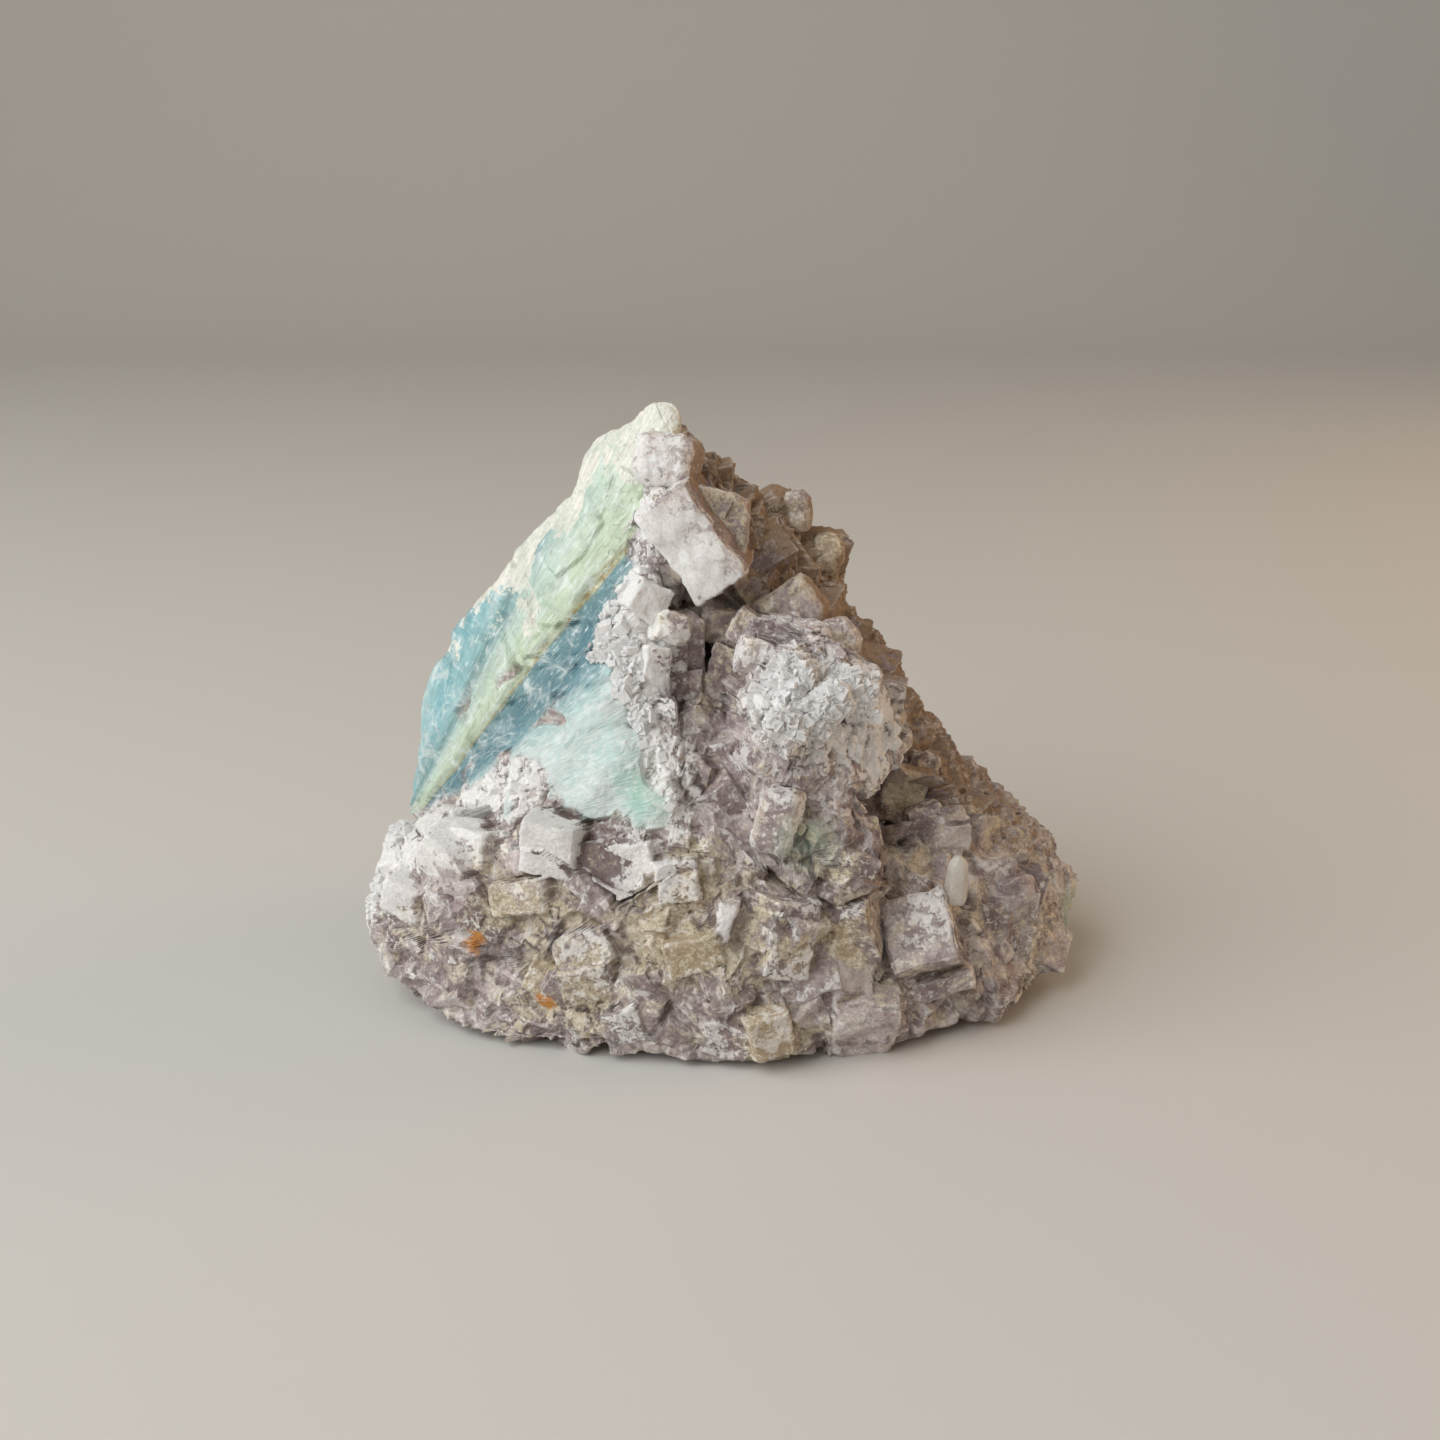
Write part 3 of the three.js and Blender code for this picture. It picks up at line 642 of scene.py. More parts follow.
def featureBoxes():
    # each feature's turn: roll about its depth, then pitch up, then yaw to the right. unless it is a
    # solid of its own, its front face is moved along the skin's normal to stand a little proud
    table = np.array(list(features.values()), float)
    zero = np.zeros(len(table))
    yaws = eulerMatrices(np.stack([zero, zero, table[:, 6]], axis=1))
    turns = yaws @ eulerMatrices(np.stack([-table[:, 7], table[:, 8], zero], axis=1))
    sizes = table[:, [3, 5, 4]]
    places = skinGrid.reshape(-1, 3)
    nearest = [((places - middle) ** 2).sum(axis=1).argmin() for middle in table[:, :3]]
    normals = outwardGrid.reshape(-1, 3)[nearest]
    over = ((table[:, :3] - places[nearest]) * normals).sum(axis=1)
    shift = np.clip(over, *featureProud) - over
    shift[[name in standing for name in features]] = 0
    middles = table[:, :3] + normals * shift[:, None]
    return middles + turns[:, :, 1] * sizes[:, 1:2] / 2, sizes, turns, table[:, 9], table[:, 10:]


def randomTurns(count, seed):
    # evenly spread rotation matrices, from random unit quaternions
    w, x, y, z = unit(np.random.default_rng(seed).normal(size=(count, 4))).T
    return np.stack([
        1 - 2 * (y * y + z * z), 2 * (x * y - z * w), 2 * (x * z + y * w),
        2 * (x * y + z * w), 1 - 2 * (x * x + z * z), 2 * (y * z - x * w),
        2 * (x * z - y * w), 2 * (y * z + x * w), 1 - 2 * (x * x + y * y),
    ], axis=1).reshape(-1, 3, 3)


def eulerMatrices(degrees):
    # rotation matrices for turns about X, then about the turned Y, then about the turned Z
    x, y, z = np.radians(np.asarray(degrees, float)).T
    zero = np.zeros_like(x)
    one = np.ones_like(x)
    aboutX = np.stack([one, zero, zero, zero, np.cos(x), -np.sin(x), zero, np.sin(x), np.cos(x)], axis=1)
    aboutY = np.stack([np.cos(y), zero, np.sin(y), zero, one, zero, -np.sin(y), zero, np.cos(y)], axis=1)
    aboutZ = np.stack([np.cos(z), -np.sin(z), zero, np.sin(z), np.cos(z), zero, zero, zero, one], axis=1)
    return np.einsum("nij,njk,nkl->nil", *(m.reshape(-1, 3, 3) for m in (aboutX, aboutY, aboutZ)))


def fromUp(directions):
    # the shortest rotation that takes +Z to each direction: the identity, plus the cross product's
    # matrix, plus its square divided by one more than the cosine
    x, y, z = directions.T
    k = 1 / np.maximum(1 + z, 1e-6)
    rows = [1 - x * x * k, -x * y * k, x, -x * y * k, 1 - y * y * k, y, -x, -y, z]
    return np.stack(rows, axis=1).reshape(-1, 3, 3)


def strewnCubes():
    # cubes strewn evenly over the crust by an additive scatter, each sunk into it and leaning a little
    count = np.arange(cubes["tried"])[:, None]
    shares = (0.5 + count * np.array(cubes["steps"])) % 1
    climbs = cubes["lowestClimb"] + (cubes["highestClimb"] - cubes["lowestClimb"]) * shares[:, 1]
    points, directions = skin(shares[:, 0], climbs)
    edges = cubes["smallest"] + (cubes["largest"] - cubes["smallest"]) * shares[:, 2] ** 2
    kept = np.flatnonzero((crustDepth(points) >= edges / 2) & (points[:, 2] >= edges / 2))[:cubes["strewn"]]
    edges = edges[kept] * (1 - cubes["smallShare"] * np.minimum(spotSum(points[kept], "fine"), 1))
    leans = np.stack([
        cubes["lean"] * (2 * shares[kept, 3] - 1),
        cubes["lean"] * (2 * shares[kept, 4] - 1),
        180 * shares[kept, 5],
    ], axis=1)
    turns = fromUp(directions[kept]) @ eulerMatrices(leans)
    centres = points[kept] - directions[kept] * ((cubes["sunk"] + cubes["deeper"]) * edges)[:, None]
    return centres, edges, turns


def crustBlocks(style):
    # blocks over all the crust: those of one patch lean the same way off the skin, and each is sunk
    # until only its share stands proud. what it reaches outwards is half its size times the
    # outward normal's parts, each without its sign. one that would float off a cliff is left out
    def weigh(points):
        outside = np.maximum(1 - style["pocket"] * spotSum(points, "pocket"), 0)
        crowded = 1 + style["crowding"] * spotSum(points, "fine")
        return outside * smoothstep(*style["border"], crustDepth(points)) * crowded
    points, normals = scatterOn(skinGrid, outwardGrid, style["count"], style["seed"], weigh)
    chance = np.random.default_rng(style["seed"] + 1)
    place, _, _ = nearestSeed(points, style["patch"], style["seed"] + 2)
    table = (3, seedCells, seedCells, seedCells)
    patchLean, patchWay, patchSpin = (part[tuple(place.T)] for part in chance.uniform(0, 1, table))
    own = chance.normal(0, 1, (3, len(points))) * style["ownLean"]
    ways = 360 * patchWay + own[0]
    leans = style["lean"] * np.sqrt(patchLean) + own[1]
    spins = 90 * patchSpin + own[2]
    zero = np.zeros(len(points))
    turns = fromUp(normals) @ eulerMatrices(np.stack([zero, zero, ways], axis=1))
    turns = turns @ eulerMatrices(np.stack([leans, zero, spins], axis=1))
    share = chance.uniform(0, 1, len(points)) ** 2
    edges = style["smallest"] + (style["largest"] - style["smallest"]) * share
    edges *= 1 - style["smallShare"] * np.minimum(spotSum(points, "fine"), 1)
    edges = np.minimum(edges, style["atBorder"] + crustDepth(points))
    sizes = edges[:, None] * chance.uniform(*style["stretch"], (len(points), 3))
    reach = (np.abs(np.einsum("nji,nj->ni", turns, normals)) * sizes / 2).sum(axis=1)
    proud = edges * chance.uniform(style["leastProud"], style["mostProud"], len(points))
    centres = points + normals * (proud - reach)[:, None]
    step = style["lookStep"]
    sparse = skinGrid[::step, ::step].reshape(-1, 3)
    sparseNormals = outwardGrid[::step, ::step].reshape(-1, 3)
    nearest = [((sparse - centre) ** 2).sum(axis=1).argmin() for centre in centres]
    kept = ((centres - sparse[nearest]) * sparseNormals[nearest]).sum(axis=1) < 0
    return centres[kept], sizes[kept], turns[kept]


def allCrystals():
    # one table of every crystal in the crust: centres, sizes, turns, softness, and frost, ochre, deep
    large = np.array(cubes["large"], float)
    strewn = strewnCubes()
    inCrust = [name not in standing for name in features]
    middles, sizes, turns, softness, finish = (part[inCrust] for part in featureBoxes())
    edges = np.concatenate([large[:, 3], strewn[1]])
    parts = [(
        np.concatenate([large[:, :3], strewn[0]]),
        np.repeat(edges[:, None], 3, axis=1),
        np.concatenate([eulerMatrices(large[:, 4:]), strewn[2]]),
        np.full(len(edges), cubes["softness"]),
    )]
    for style in (blocks, crystallites):
        made = crustBlocks(style)
        parts.append((*made, np.full(len(made[0]), style["softness"])))
    parts.append((middles, sizes, turns, softness))
    joined = [np.concatenate(part) for part in zip(*parts)]
    plain = len(joined[0]) - len(finish)
    return (*joined, np.concatenate([np.zeros((plain, 3)), finish]))


def raised(points, outward, height, warp):
    # where the line outwards from each point last leaves a crystal: of its three pairs of faces, the
    # nearest one it leaves through, softened near edges by a smooth minimum. gives the height, how
    # far that place is from the face's edge, which face it is, and the crystal's own finish
    rim = np.full(len(points), noEdge)
    face = np.full(len(points), -1.0)
    finish = np.zeros((len(points), 3))
    chance = np.random.default_rng(cubes["seed"])
    tallest, tallShare = cubes["tallest"]
    bluntShare, leastBlunt = cubes["blunt"]
    order = np.argsort(points[:, 2])
    levels = points[order, 2]
    for centre, size, turn, softness, own in zip(*allCrystals()):
        reach = np.linalg.norm(size) / 2 + cubes["margin"]
        low, high = np.searchsorted(levels, [centre[2] - reach, centre[2] + reach])
        near = order[low:high]
        near = near[((points[near] - centre) ** 2).sum(axis=1) < reach ** 2]
        away = points[near] - centre
        local = (away + warp[near]) @ turn
        ray = outward[near] @ turn
        ray = np.where(np.abs(ray) < cubes["steepest"], cubes["steepest"], ray)
        leave = (np.sign(ray) * size / 2 - local) / ray
        enter = ((-np.sign(ray) * size / 2 - local) / ray).max(axis=1)
        nearest = leave.min(axis=1)
        blunt = softness * bluntShare + leastBlunt
        soft = nearest - blunt * np.log(np.exp((nearest[:, None] - leave) / blunt).sum(axis=1))
        better = (enter < nearest) & (soft > height[near]) & (nearest < tallest + tallShare * size.max())
        at = near[better]
        axis = leave[better].argmin(axis=1)
        met = local[better] + nearest[better, None] * ray[better]
        rim[at] = np.sort(size / 2 - np.abs(met), axis=1)[:, 1]
        shade = chance.uniform(0, 1, 3)
        height[at] = soft[better]
        face[at] = shade[axis]
        finish[at] = own
    return height, rim, face, finish


# Broken surface: its relief over the skin, in millimetres. a noise is a cell width, a seed and a
# height, and a set of chips is a cell width, a seed and a tilt
brokenStyle = {
    "crustEdge": [[5, 3, 1.5], [1.8, 4, 0.8]],  # makes the border of the crust ragged
    "finishEdge": [[6, 81, 0.16], [1.8, 82, 0.1]],  # and that of rind, brown coat and veil
    "fine": [[1.3, 6, 0.16], [0.6, 7, 0.1]],
    "border": [-0.4, 0.8],  # depths between which bare stone turns into crust
    "leastShare": 0.001,  # less of either than this isn't worked out
    "slopeReach": 3,  # grid places that the slope of a cliff is evened out over
    "leastRelief": 0.2,  # share of the relief that is left on cliffs
    "bareChips": [[11, 21, 1.1], [4.4, 31, 1.1], [1.7, 35, 1.1]],
    "bareHeights": [[0.5, 0.3], [0.12, 0.2], [0.07, 0.06]],  # of a set, and what the glassy layer adds
    "bareFine": 0.5,  # share of the fine noise where there is no rind
    "glassyStart": [51, 54],  # degrees round the layers' line where that layer sets in, and ends
    "glassyEnd": [66, 63],
    "crustChips": [[10, 51, 1.0], [4.6, 61, 1.2], [2.0, 65, 1.3], [1.0, 67, 1.4]],
    "crustHeights": [1.1, 0.8, 0.12],
    "sugaryLoss": 0.5,  # how much lower the widest chips are where the crust is sugary
    "faceShares": [0.5, 0.3, 0.2],  # of those sets in a place's face value
    "smallRim": 0.6,  # how much further off the borders of small chips seem to be
    "crystalsOver": 0.7,  # how far crystals stand over the chips
    "warp": [[4, 41, 0.6], [1.3, 42, 0.12]],  # bends the crystals
    "evenedShare": 0.5,  # how much of the crust's relief is evened out over a grid place
    "evenedFrom": 0.99,  # share of crust from which it is
    "sugaryShare": 0.5,  # how rough sugary crust is, next to the brown coat
    "roughHeights": [[0.3, 0.7], [0.04, 0.3], [0.05, 0.2]],  # of fine noise, chips, crumbs; what rough adds
    "ownFinish": 0.5,  # weight of a crystal's own frost, ochre and deep
    "calmReach": 4,  # grid places that the pocket and cliffs are evened out over
    "calmCliffs": 1.2,  # how much of their relief cliffs lose to that, where they have the least
    "sunkReach": 9,  # and that a place's height is set against, for the painted shade in recesses
    "sunkRange": [-0.3, 3],
    "veilLayers": [46, 34],  # degrees between which white frost spreads over the fan
    "veilRagged": 8,
}
rindPlaces = {
    "left": [-0.42, -0.22],  # parts of the way outwards along Y, and the heights, between which it begins
    "leftHeight": [70, 84],
    "tipHeight": [105, 111],
    "heightRagged": 30,
    "back": [0.45, 0.8],
    "backRagged": 2.5,
    "patches": [[16, 83, 0.5]],
}
# where the brown coat lies: partly a real coat, partly painted warm shade on the side that faces right
brownShadePlaces = {
    "right": [0.25, 0.8],  # parts of the way outwards along X, with a share of that along Y
    "behindShare": 0.25,
    "height": [12, 44],
    "behind": [-28, -14],
}


def brownCoatAndWarmShade(points, outward, ragged):
    # the warm brown coat of the side that faces right, behind the crystals of the show side, partly a real
    # coat and partly painted warm shade: the product of three smoothsteps
    rightwards = outward[:, 0] + brownShadePlaces["behindShare"] * outward[:, 1] + ragged
    right = smoothstep(*brownShadePlaces["right"], rightwards)
    high = smoothstep(*brownShadePlaces["height"], points[:, 2])
    return right * high * smoothstep(*brownShadePlaces["behind"], points[:, 1])


def rindShare(points, outward, ragged):
    # white rind: the most of a left part near the top, all of the tip, and patches of the back
    height = points[:, 2] + rindPlaces["heightRagged"] * ragged
    left = smoothstep(*rindPlaces["left"], outward[:, 1] + ragged)
    left *= smoothstep(*rindPlaces["leftHeight"], height)
    tip = smoothstep(*rindPlaces["tipHeight"], height)
    backwards = outward[:, 1] + rindPlaces["backRagged"] * ragged + noiseSum(points, rindPlaces["patches"])
    return np.max([left, tip, smoothstep(*rindPlaces["back"], backwards)], axis=0)


def evenedOut(field, reach):
    # a value for each vertex, evened out over so many grid places
    return blurred(field.reshape(skinGrid.shape[:2]), reach).ravel()


def bareRelief(points, bare, ground):
    # bare faces break into chips of three sizes, higher in the glassy layer, over fine noise. gives
    # the height, the distance to the nearest chip's border, and the smallest chip's random number
    at = points[bare]
    angle = layerAngle(at)
    glassy = smoothstep(*brokenStyle["glassyStart"], angle) * smoothstep(*brokenStyle["glassyEnd"], angle)
    wide, narrow, tiny = (chips(at, *chipSet) for chipSet in brokenStyle["bareChips"])
    heights = [share + more * glassy for share, more in brokenStyle["bareHeights"]]
    relief = ground.copy()
    relief[bare] += wide[0] * heights[0] + narrow[0] * heights[1]
    relief = evenedOut(relief, 1)
    relief[bare] += tiny[0] * heights[2]
    return relief, np.minimum(wide[1], narrow[1]), tiny[2]


def crustRelief(points, outward, deep, share, gentle, brown, fine):
    # crust is chips of three sizes with crystals standing out of them, evened out a little, and made
    # rough by fine noise, small chips and crumbs. gives the height, the distance to the nearest edge,
    # which face it is, and the crystal's own finish
    at = points[deep]
    sugary = np.minimum(spotSum(at, "sugar"), 1)
    coarse, middle, small, crumbs = (chips(at, *chipSet) for chipSet in brokenStyle["crustChips"])
    heights = brokenStyle["crustHeights"]
    base = coarse[0] * heights[0] * (1 - brokenStyle["sugaryLoss"] * sugary)
    base = base + middle[0] * heights[1] + small[0] * heights[2]
    warp = noiseVectors(at, brokenStyle["warp"])
    height, boxRim, boxFace, own = raised(at, outward[deep], base - brokenStyle["crystalsOver"], warp)
    onBox = boxFace >= 0
    whole = np.zeros(len(points))
    whole[deep] = height
    evened = height + brokenStyle["evenedShare"] * (evenedOut(whole, 1)[deep] - height)
    height = np.where(share > brokenStyle["evenedFrom"], evened, height) * gentle[deep]
    rough = np.maximum(brokenStyle["sugaryShare"] * sugary, brown[deep])
    for part, (least, more) in zip((fine[deep], small[0], crumbs[0]), brokenStyle["roughHeights"]):
        height = height + part * (least + more * rough)
    chipRim = np.min([middle[1], coarse[1], small[1] + brokenStyle["smallRim"]], axis=0)
    shares = zip(brokenStyle["faceShares"], (coarse, middle, small))
    chipFace = sum(weight * part[2] for weight, part in shares)
    rim = np.where(onBox, np.maximum(boxRim, 0), chipRim)
    return height, rim, np.where(onBox, boxFace, chipFace), own


def finishValues(points, own):
    # how much of each kind of finish there is: the spots', and a crystal's own frost, ochre and deep
    values = {kind: spotSum(points, kind) for kind in shadedSpots}
    for kind, more in zip(("frost", "ochre", "deep"), own.T):
        values[kind] = values[kind] + more
    return values


def makeReliefs():
    # the broken surface: the skin moved outwards by the relief of bare faces and crust, blended at the
    # ragged border between them, and the values that its finish reads
    points = skinGrid.reshape(-1, 3)
    outward = outwardGrid.reshape(-1, 3)
    crustEdge = noiseSum(points, brokenStyle["crustEdge"])
    finishEdge = noiseSum(points, brokenStyle["finishEdge"])
    inCrust = smoothstep(*brokenStyle["border"], crustDepth(points) + crustEdge)
    fine = noiseSum(points, brokenStyle["fine"])
    slope = (gridNormals(skinGrid, brokenStyle["slopeReach"]).reshape(-1, 3) * outward).sum(axis=1)
    least = brokenStyle["leastRelief"]
    gentle = least + (1 - least) * smoothstep(*stone["cliffs"], slope)
    rind = rindShare(points, outward, finishEdge)
    brown = brownCoatAndWarmShade(points, outward, finishEdge)
    rim = np.full(len(points), noEdge)
    face = np.full(len(points), 0.5)
    finish = np.zeros((len(points), 3))
    trace = brokenStyle["leastShare"]
    bare = np.flatnonzero(inCrust < 1 - trace)
    relief, rim[bare], face[bare] = bareRelief(points, bare, fine * (brokenStyle["bareFine"] + rind))
    deep = np.flatnonzero(inCrust > trace)
    share = inCrust[deep]
    crusty, crustRim, crustFace, own = crustRelief(points, outward, deep, share, gentle, brown, fine)
    relief[deep] = (1 - share) * relief[deep] + share * crusty
    rim[deep] = np.where(share > 0.5, crustRim, rim[deep])
    face[deep] = np.where(share > 0.5, crustFace, face[deep])
    finish[deep] = own * share[:, None]
    calm = np.clip(np.maximum(spotSum(points, "pocket"), brokenStyle["calmCliffs"] * (1 - gentle)), 0, 1)
    relief += calm * (evenedOut(relief, brokenStyle["calmReach"]) - relief)
    relief *= smoothstep(0, stone["reliefFade"], points[:, 2])
    final = points + outward * relief[:, None]
    final[:, 2] = np.maximum(final[:, 2], 0)
    pastCrust = brokenStyle["veilRagged"] * finishEdge - crustDepth(points)
    veil = smoothstep(*brokenStyle["veilLayers"], layerAngle(points))
    veil *= smoothstep(stone["veilWidth"], 0, pastCrust)
    values = {"crust": inCrust, "rim": rim, "face": face, "rind": rind, "brown": brown, "veil": veil}
    # how far each place lies below the relief round it, which the finish paints as shade
    values["sunk"] = np.clip(evenedOut(relief, brokenStyle["sunkReach"]) - relief, *brokenStyle["sunkRange"])
    values |= finishValues(final, finish * brokenStyle["ownFinish"])
    values = {key: value.reshape(skinGrid.shape[:2]) for key, value in values.items()}
    return final.reshape(skinGrid.shape), values


brokenGrid, brokenValues = makeReliefs()
print("broken surface worked out")


def makeStone():
    # the broken surface cut into upright wedges like an orange's, each closed by two walls that meet
    # along a line inside the stone
    rows, columns = brokenGrid.shape[:2]
    ends = skin(np.array([0.0, 0.0]), np.array([0.0, 1.0]))[0]
    share = (np.arange(rows)[:, None] + 1) / (rows + 1)
    above, below = stone["coreEnds"]
    inside = (1 - share) * (ends[0] + [0, 0, above]) + share * (ends[1] - [0, 0, below])
    made = []
    for number, part in enumerate(np.array_split(np.arange(columns), stone["wedges"])):
        taken = np.append(part, (part[-1] + 1) % columns)
        sheet = brokenGrid[:, taken]
        index = np.arange(sheet[..., 0].size).reshape(sheet.shape[:2])
        low, high = index.size, index.size + 1
        core = high + 1 + np.arange(rows)
        vertices = np.concatenate([sheet.reshape(-1, 3), ends, inside])
        a, b, c, d = (p.ravel() for p in (index[:-1, :-1], index[:-1, 1:], index[1:, 1:], index[1:, :-1]))
        across = np.linalg.norm(vertices[a] - vertices[c], axis=1)
        flatter = (across < np.linalg.norm(vertices[b] - vertices[d], axis=1))[:, None]
        first = np.where(flatter, np.stack([a, b, c], axis=1), np.stack([a, b, d], axis=1))
        second = np.where(flatter, np.stack([a, c, d], axis=1), np.stack([b, c, d], axis=1))
        fans = [
            np.stack([np.full(len(part), low), index[0, 1:], index[0, :-1]], axis=1),
            np.stack([np.full(len(part), high), index[-1, :-1], index[-1, 1:]], axis=1),
        ]
        walls = []
        for edge, flip in ((index[:, 0], False), (index[:, -1], True)):
            outer = np.concatenate([[low], edge, [high]])
            inner = np.concatenate([[low], core, [high]])
            wall = np.concatenate([
                np.stack([outer[:-1], outer[1:], inner[1:]], axis=1),
                np.stack([outer[:-1], inner[1:], inner[:-1]], axis=1),
            ])
            wall = wall[(wall[:, 0] != wall[:, 1]) & (wall[:, 1] != wall[:, 2]) & (wall[:, 0] != wall[:, 2])]
            walls.append(wall[:, ::-1] if flip else wall)
        faces = np.concatenate([first, second, *fans, *walls])
        blank = np.zeros(2 + rows)
        taking = {key: value[:, taken].ravel() for key, value in brokenValues.items()}
        values = {key: np.concatenate([value, blank]) for key, value in taking.items()}
        made.append(meshFrom(f"stoneWedge{number}", vertices, faces, values, True))
    return made


def boxTemplate(places):
    # the grid places on a cube's surface, with so many along each edge, and its quads facing outwards
    last = places - 1
    steps = np.arange(places)
    u, v = np.meshgrid(steps, steps, indexing="ij")
    spread = []
    quads = []
    for axis in range(3):
        for end in (0, last):
            side = np.zeros((places, places, 3), int)
            side[..., axis] = end
            side[..., (axis + 1) % 3] = u
            side[..., (axis + 2) % 3] = v
            index = places ** 2 * len(spread) + np.arange(places ** 2).reshape(places, places)
            ring = [index[:-1, :-1], index[1:, :-1], index[1:, 1:], index[:-1, 1:]]
            ring = ring if end == last else ring[::-1]
            quads.append(np.stack([corner.ravel() for corner in ring], axis=1))
            spread.append(side.reshape(-1, 3))
    shared, where = np.unique(np.concatenate(spread), axis=0, return_inverse=True)
    return shared, where.ravel()[np.concatenate(quads)]


standingStyle = {
    "places": 24,  # grid places along each edge
    "leastRounding": 0.25,
    "mostRounding": 0.8,  # share of the shortest half side
    "cuts": 5,  # corners broken off
    "cutReach": [0.78, 1.05],  # how far out a cut lies, as a share of the corner it cuts
    "cutLean": 0.1,
    "roundFrom": [1.5, 2.5],  # rounding at which a crystal starts to look like one lump, and is one
    "lumpFace": 0.6,
    "lumpRim": 3,
    "bend": [[4.5, 41, 0.6], [1.6, 42, 0.24]],  # noises as above
    "chips": [[3.6, 61, 1.2], [1.6, 65, 1.3]],
    "chipHeights": [0.22, 0.1],
    "rough": [[1.1, 6, 0.1], [0.5, 7, 0.05]],
    "ownFinish": 0.6,
}


def makeStanding():
    # the grid lies evenly over an inner box and steps out to the ends, and what lies past the inner
    # box is drawn back onto a ball of the rounding's radius. random planes break corners off, and
    # chips and noise roughen the rest along the surface's own normal
    chosen = [name in standing for name in features]
    centres, sizes, turns, rounding, finish = (part[chosen] for part in featureBoxes())
    places = standingStyle["places"]
    shared, quads = boxTemplate(places)
    half = (sizes / 2)[:, None, :]
    widest = half.min(axis=2) * standingStyle["mostRounding"]
    worn = np.minimum((rounding + standingStyle["leastRounding"])[:, None], widest)[..., None]
    ends = (shared == places - 1) * 1 - (shared == 0) * 1
    inside = np.clip((shared - 1) / (places - 3), 0, 1) * 2 - 1
    local = np.where(ends != 0, ends * half, inside * (half - worn))
    rim = np.sort(half - np.abs(local), axis=2)[..., 1]
    inner = np.clip(local, worn - half, half - worn)
    normals = unit(local - inner)
    local = inner + normals * worn
    chance = np.random.default_rng(len(centres))
    for _ in range(standingStyle["cuts"]):
        signs = chance.choice([-1, 1], (len(centres), 3))
        cut = unit(signs * chance.uniform(standingStyle["cutLean"], 1, (len(centres), 3)))
        share = chance.uniform(*standingStyle["cutReach"], len(centres))
        reach = (np.abs(cut) * sizes / 2).sum(axis=1) * share
        over = np.maximum(np.einsum("nki,ni->nk", local, cut) - reach[:, None], 0)
        local = local - over[..., None] * cut[:, None, :]
    axis = np.abs(normals).argmax(axis=2)
    face = np.take_along_axis(chance.uniform(0, 1, (len(centres), 3)), axis.reshape(len(centres), -1), axis=1)
    rounded = smoothstep(*standingStyle["roundFrom"], rounding)[:, None]
    face = face + (standingStyle["lumpFace"] - face) * rounded
    rim = rim + standingStyle["lumpRim"] * rounded
    points = (np.einsum("nij,nkj->nki", turns, local) + centres[:, None, :]).reshape(-1, 3)
    normals = np.einsum("nij,nkj->nki", turns, normals).reshape(-1, 3)
    rough = noiseSum(points, standingStyle["rough"])
    for chipSet, lift in zip(standingStyle["chips"], standingStyle["chipHeights"]):
        rough = rough + lift * chips(points, *chipSet)[0]
    points = points + noiseVectors(points, standingStyle["bend"]) + normals * rough[:, None]
    faces = quads[None] + (np.arange(len(centres)) * len(shared))[:, None, None]
    zero = np.zeros(len(points))
    values = {"crust": zero + 1, "rim": rim.ravel(), "face": face.ravel(), "sunk": zero, "rind": zero}
    values["brown"] = brownCoatAndWarmShade(points, normals, zero)
    values |= finishValues(points, np.repeat(finish, len(shared), axis=0) * standingStyle["ownFinish"])
    return meshFrom("standingCrystals", points, faces.reshape(-1, 4), values, False)


# Clear point: a six-sided crystal that grew on the crust
point = {
    "foot": [46.5, -38.5, 28.5],
    "towards": [0.03, -0.26, 1],
    "radius": 2.6,
    "length": 10.5,
    "shoulder": 0.66,  # share of the length where the sides turn in to the tip
    "around": 72,
    "rows": 30,
    "hexagon": 0.7,  # how much of the outline is the hexagon's, and not a circle's
    "taper": 1.8,  # exponent of the tip's outline
    "bluntness": 0.0016,
    "swell": [0.1, 5],  # how much thicker the foot is, and the radians that it wavers by
    "caps": [-0.2, 0.1],  # how far the ends' middles lie past the foot and the tip
    "wobble": [[1.5, 81, 0.12]],  # a noise: cell width, seed and height
    "roughness": 0.22,
    "transmission": 0.4,  # it is a little milky
    "frosting": [1.4, 4, 0.6],  # scale per millimetre, detail and roughness of a noise
    "frostingHeight": 0.3,
}


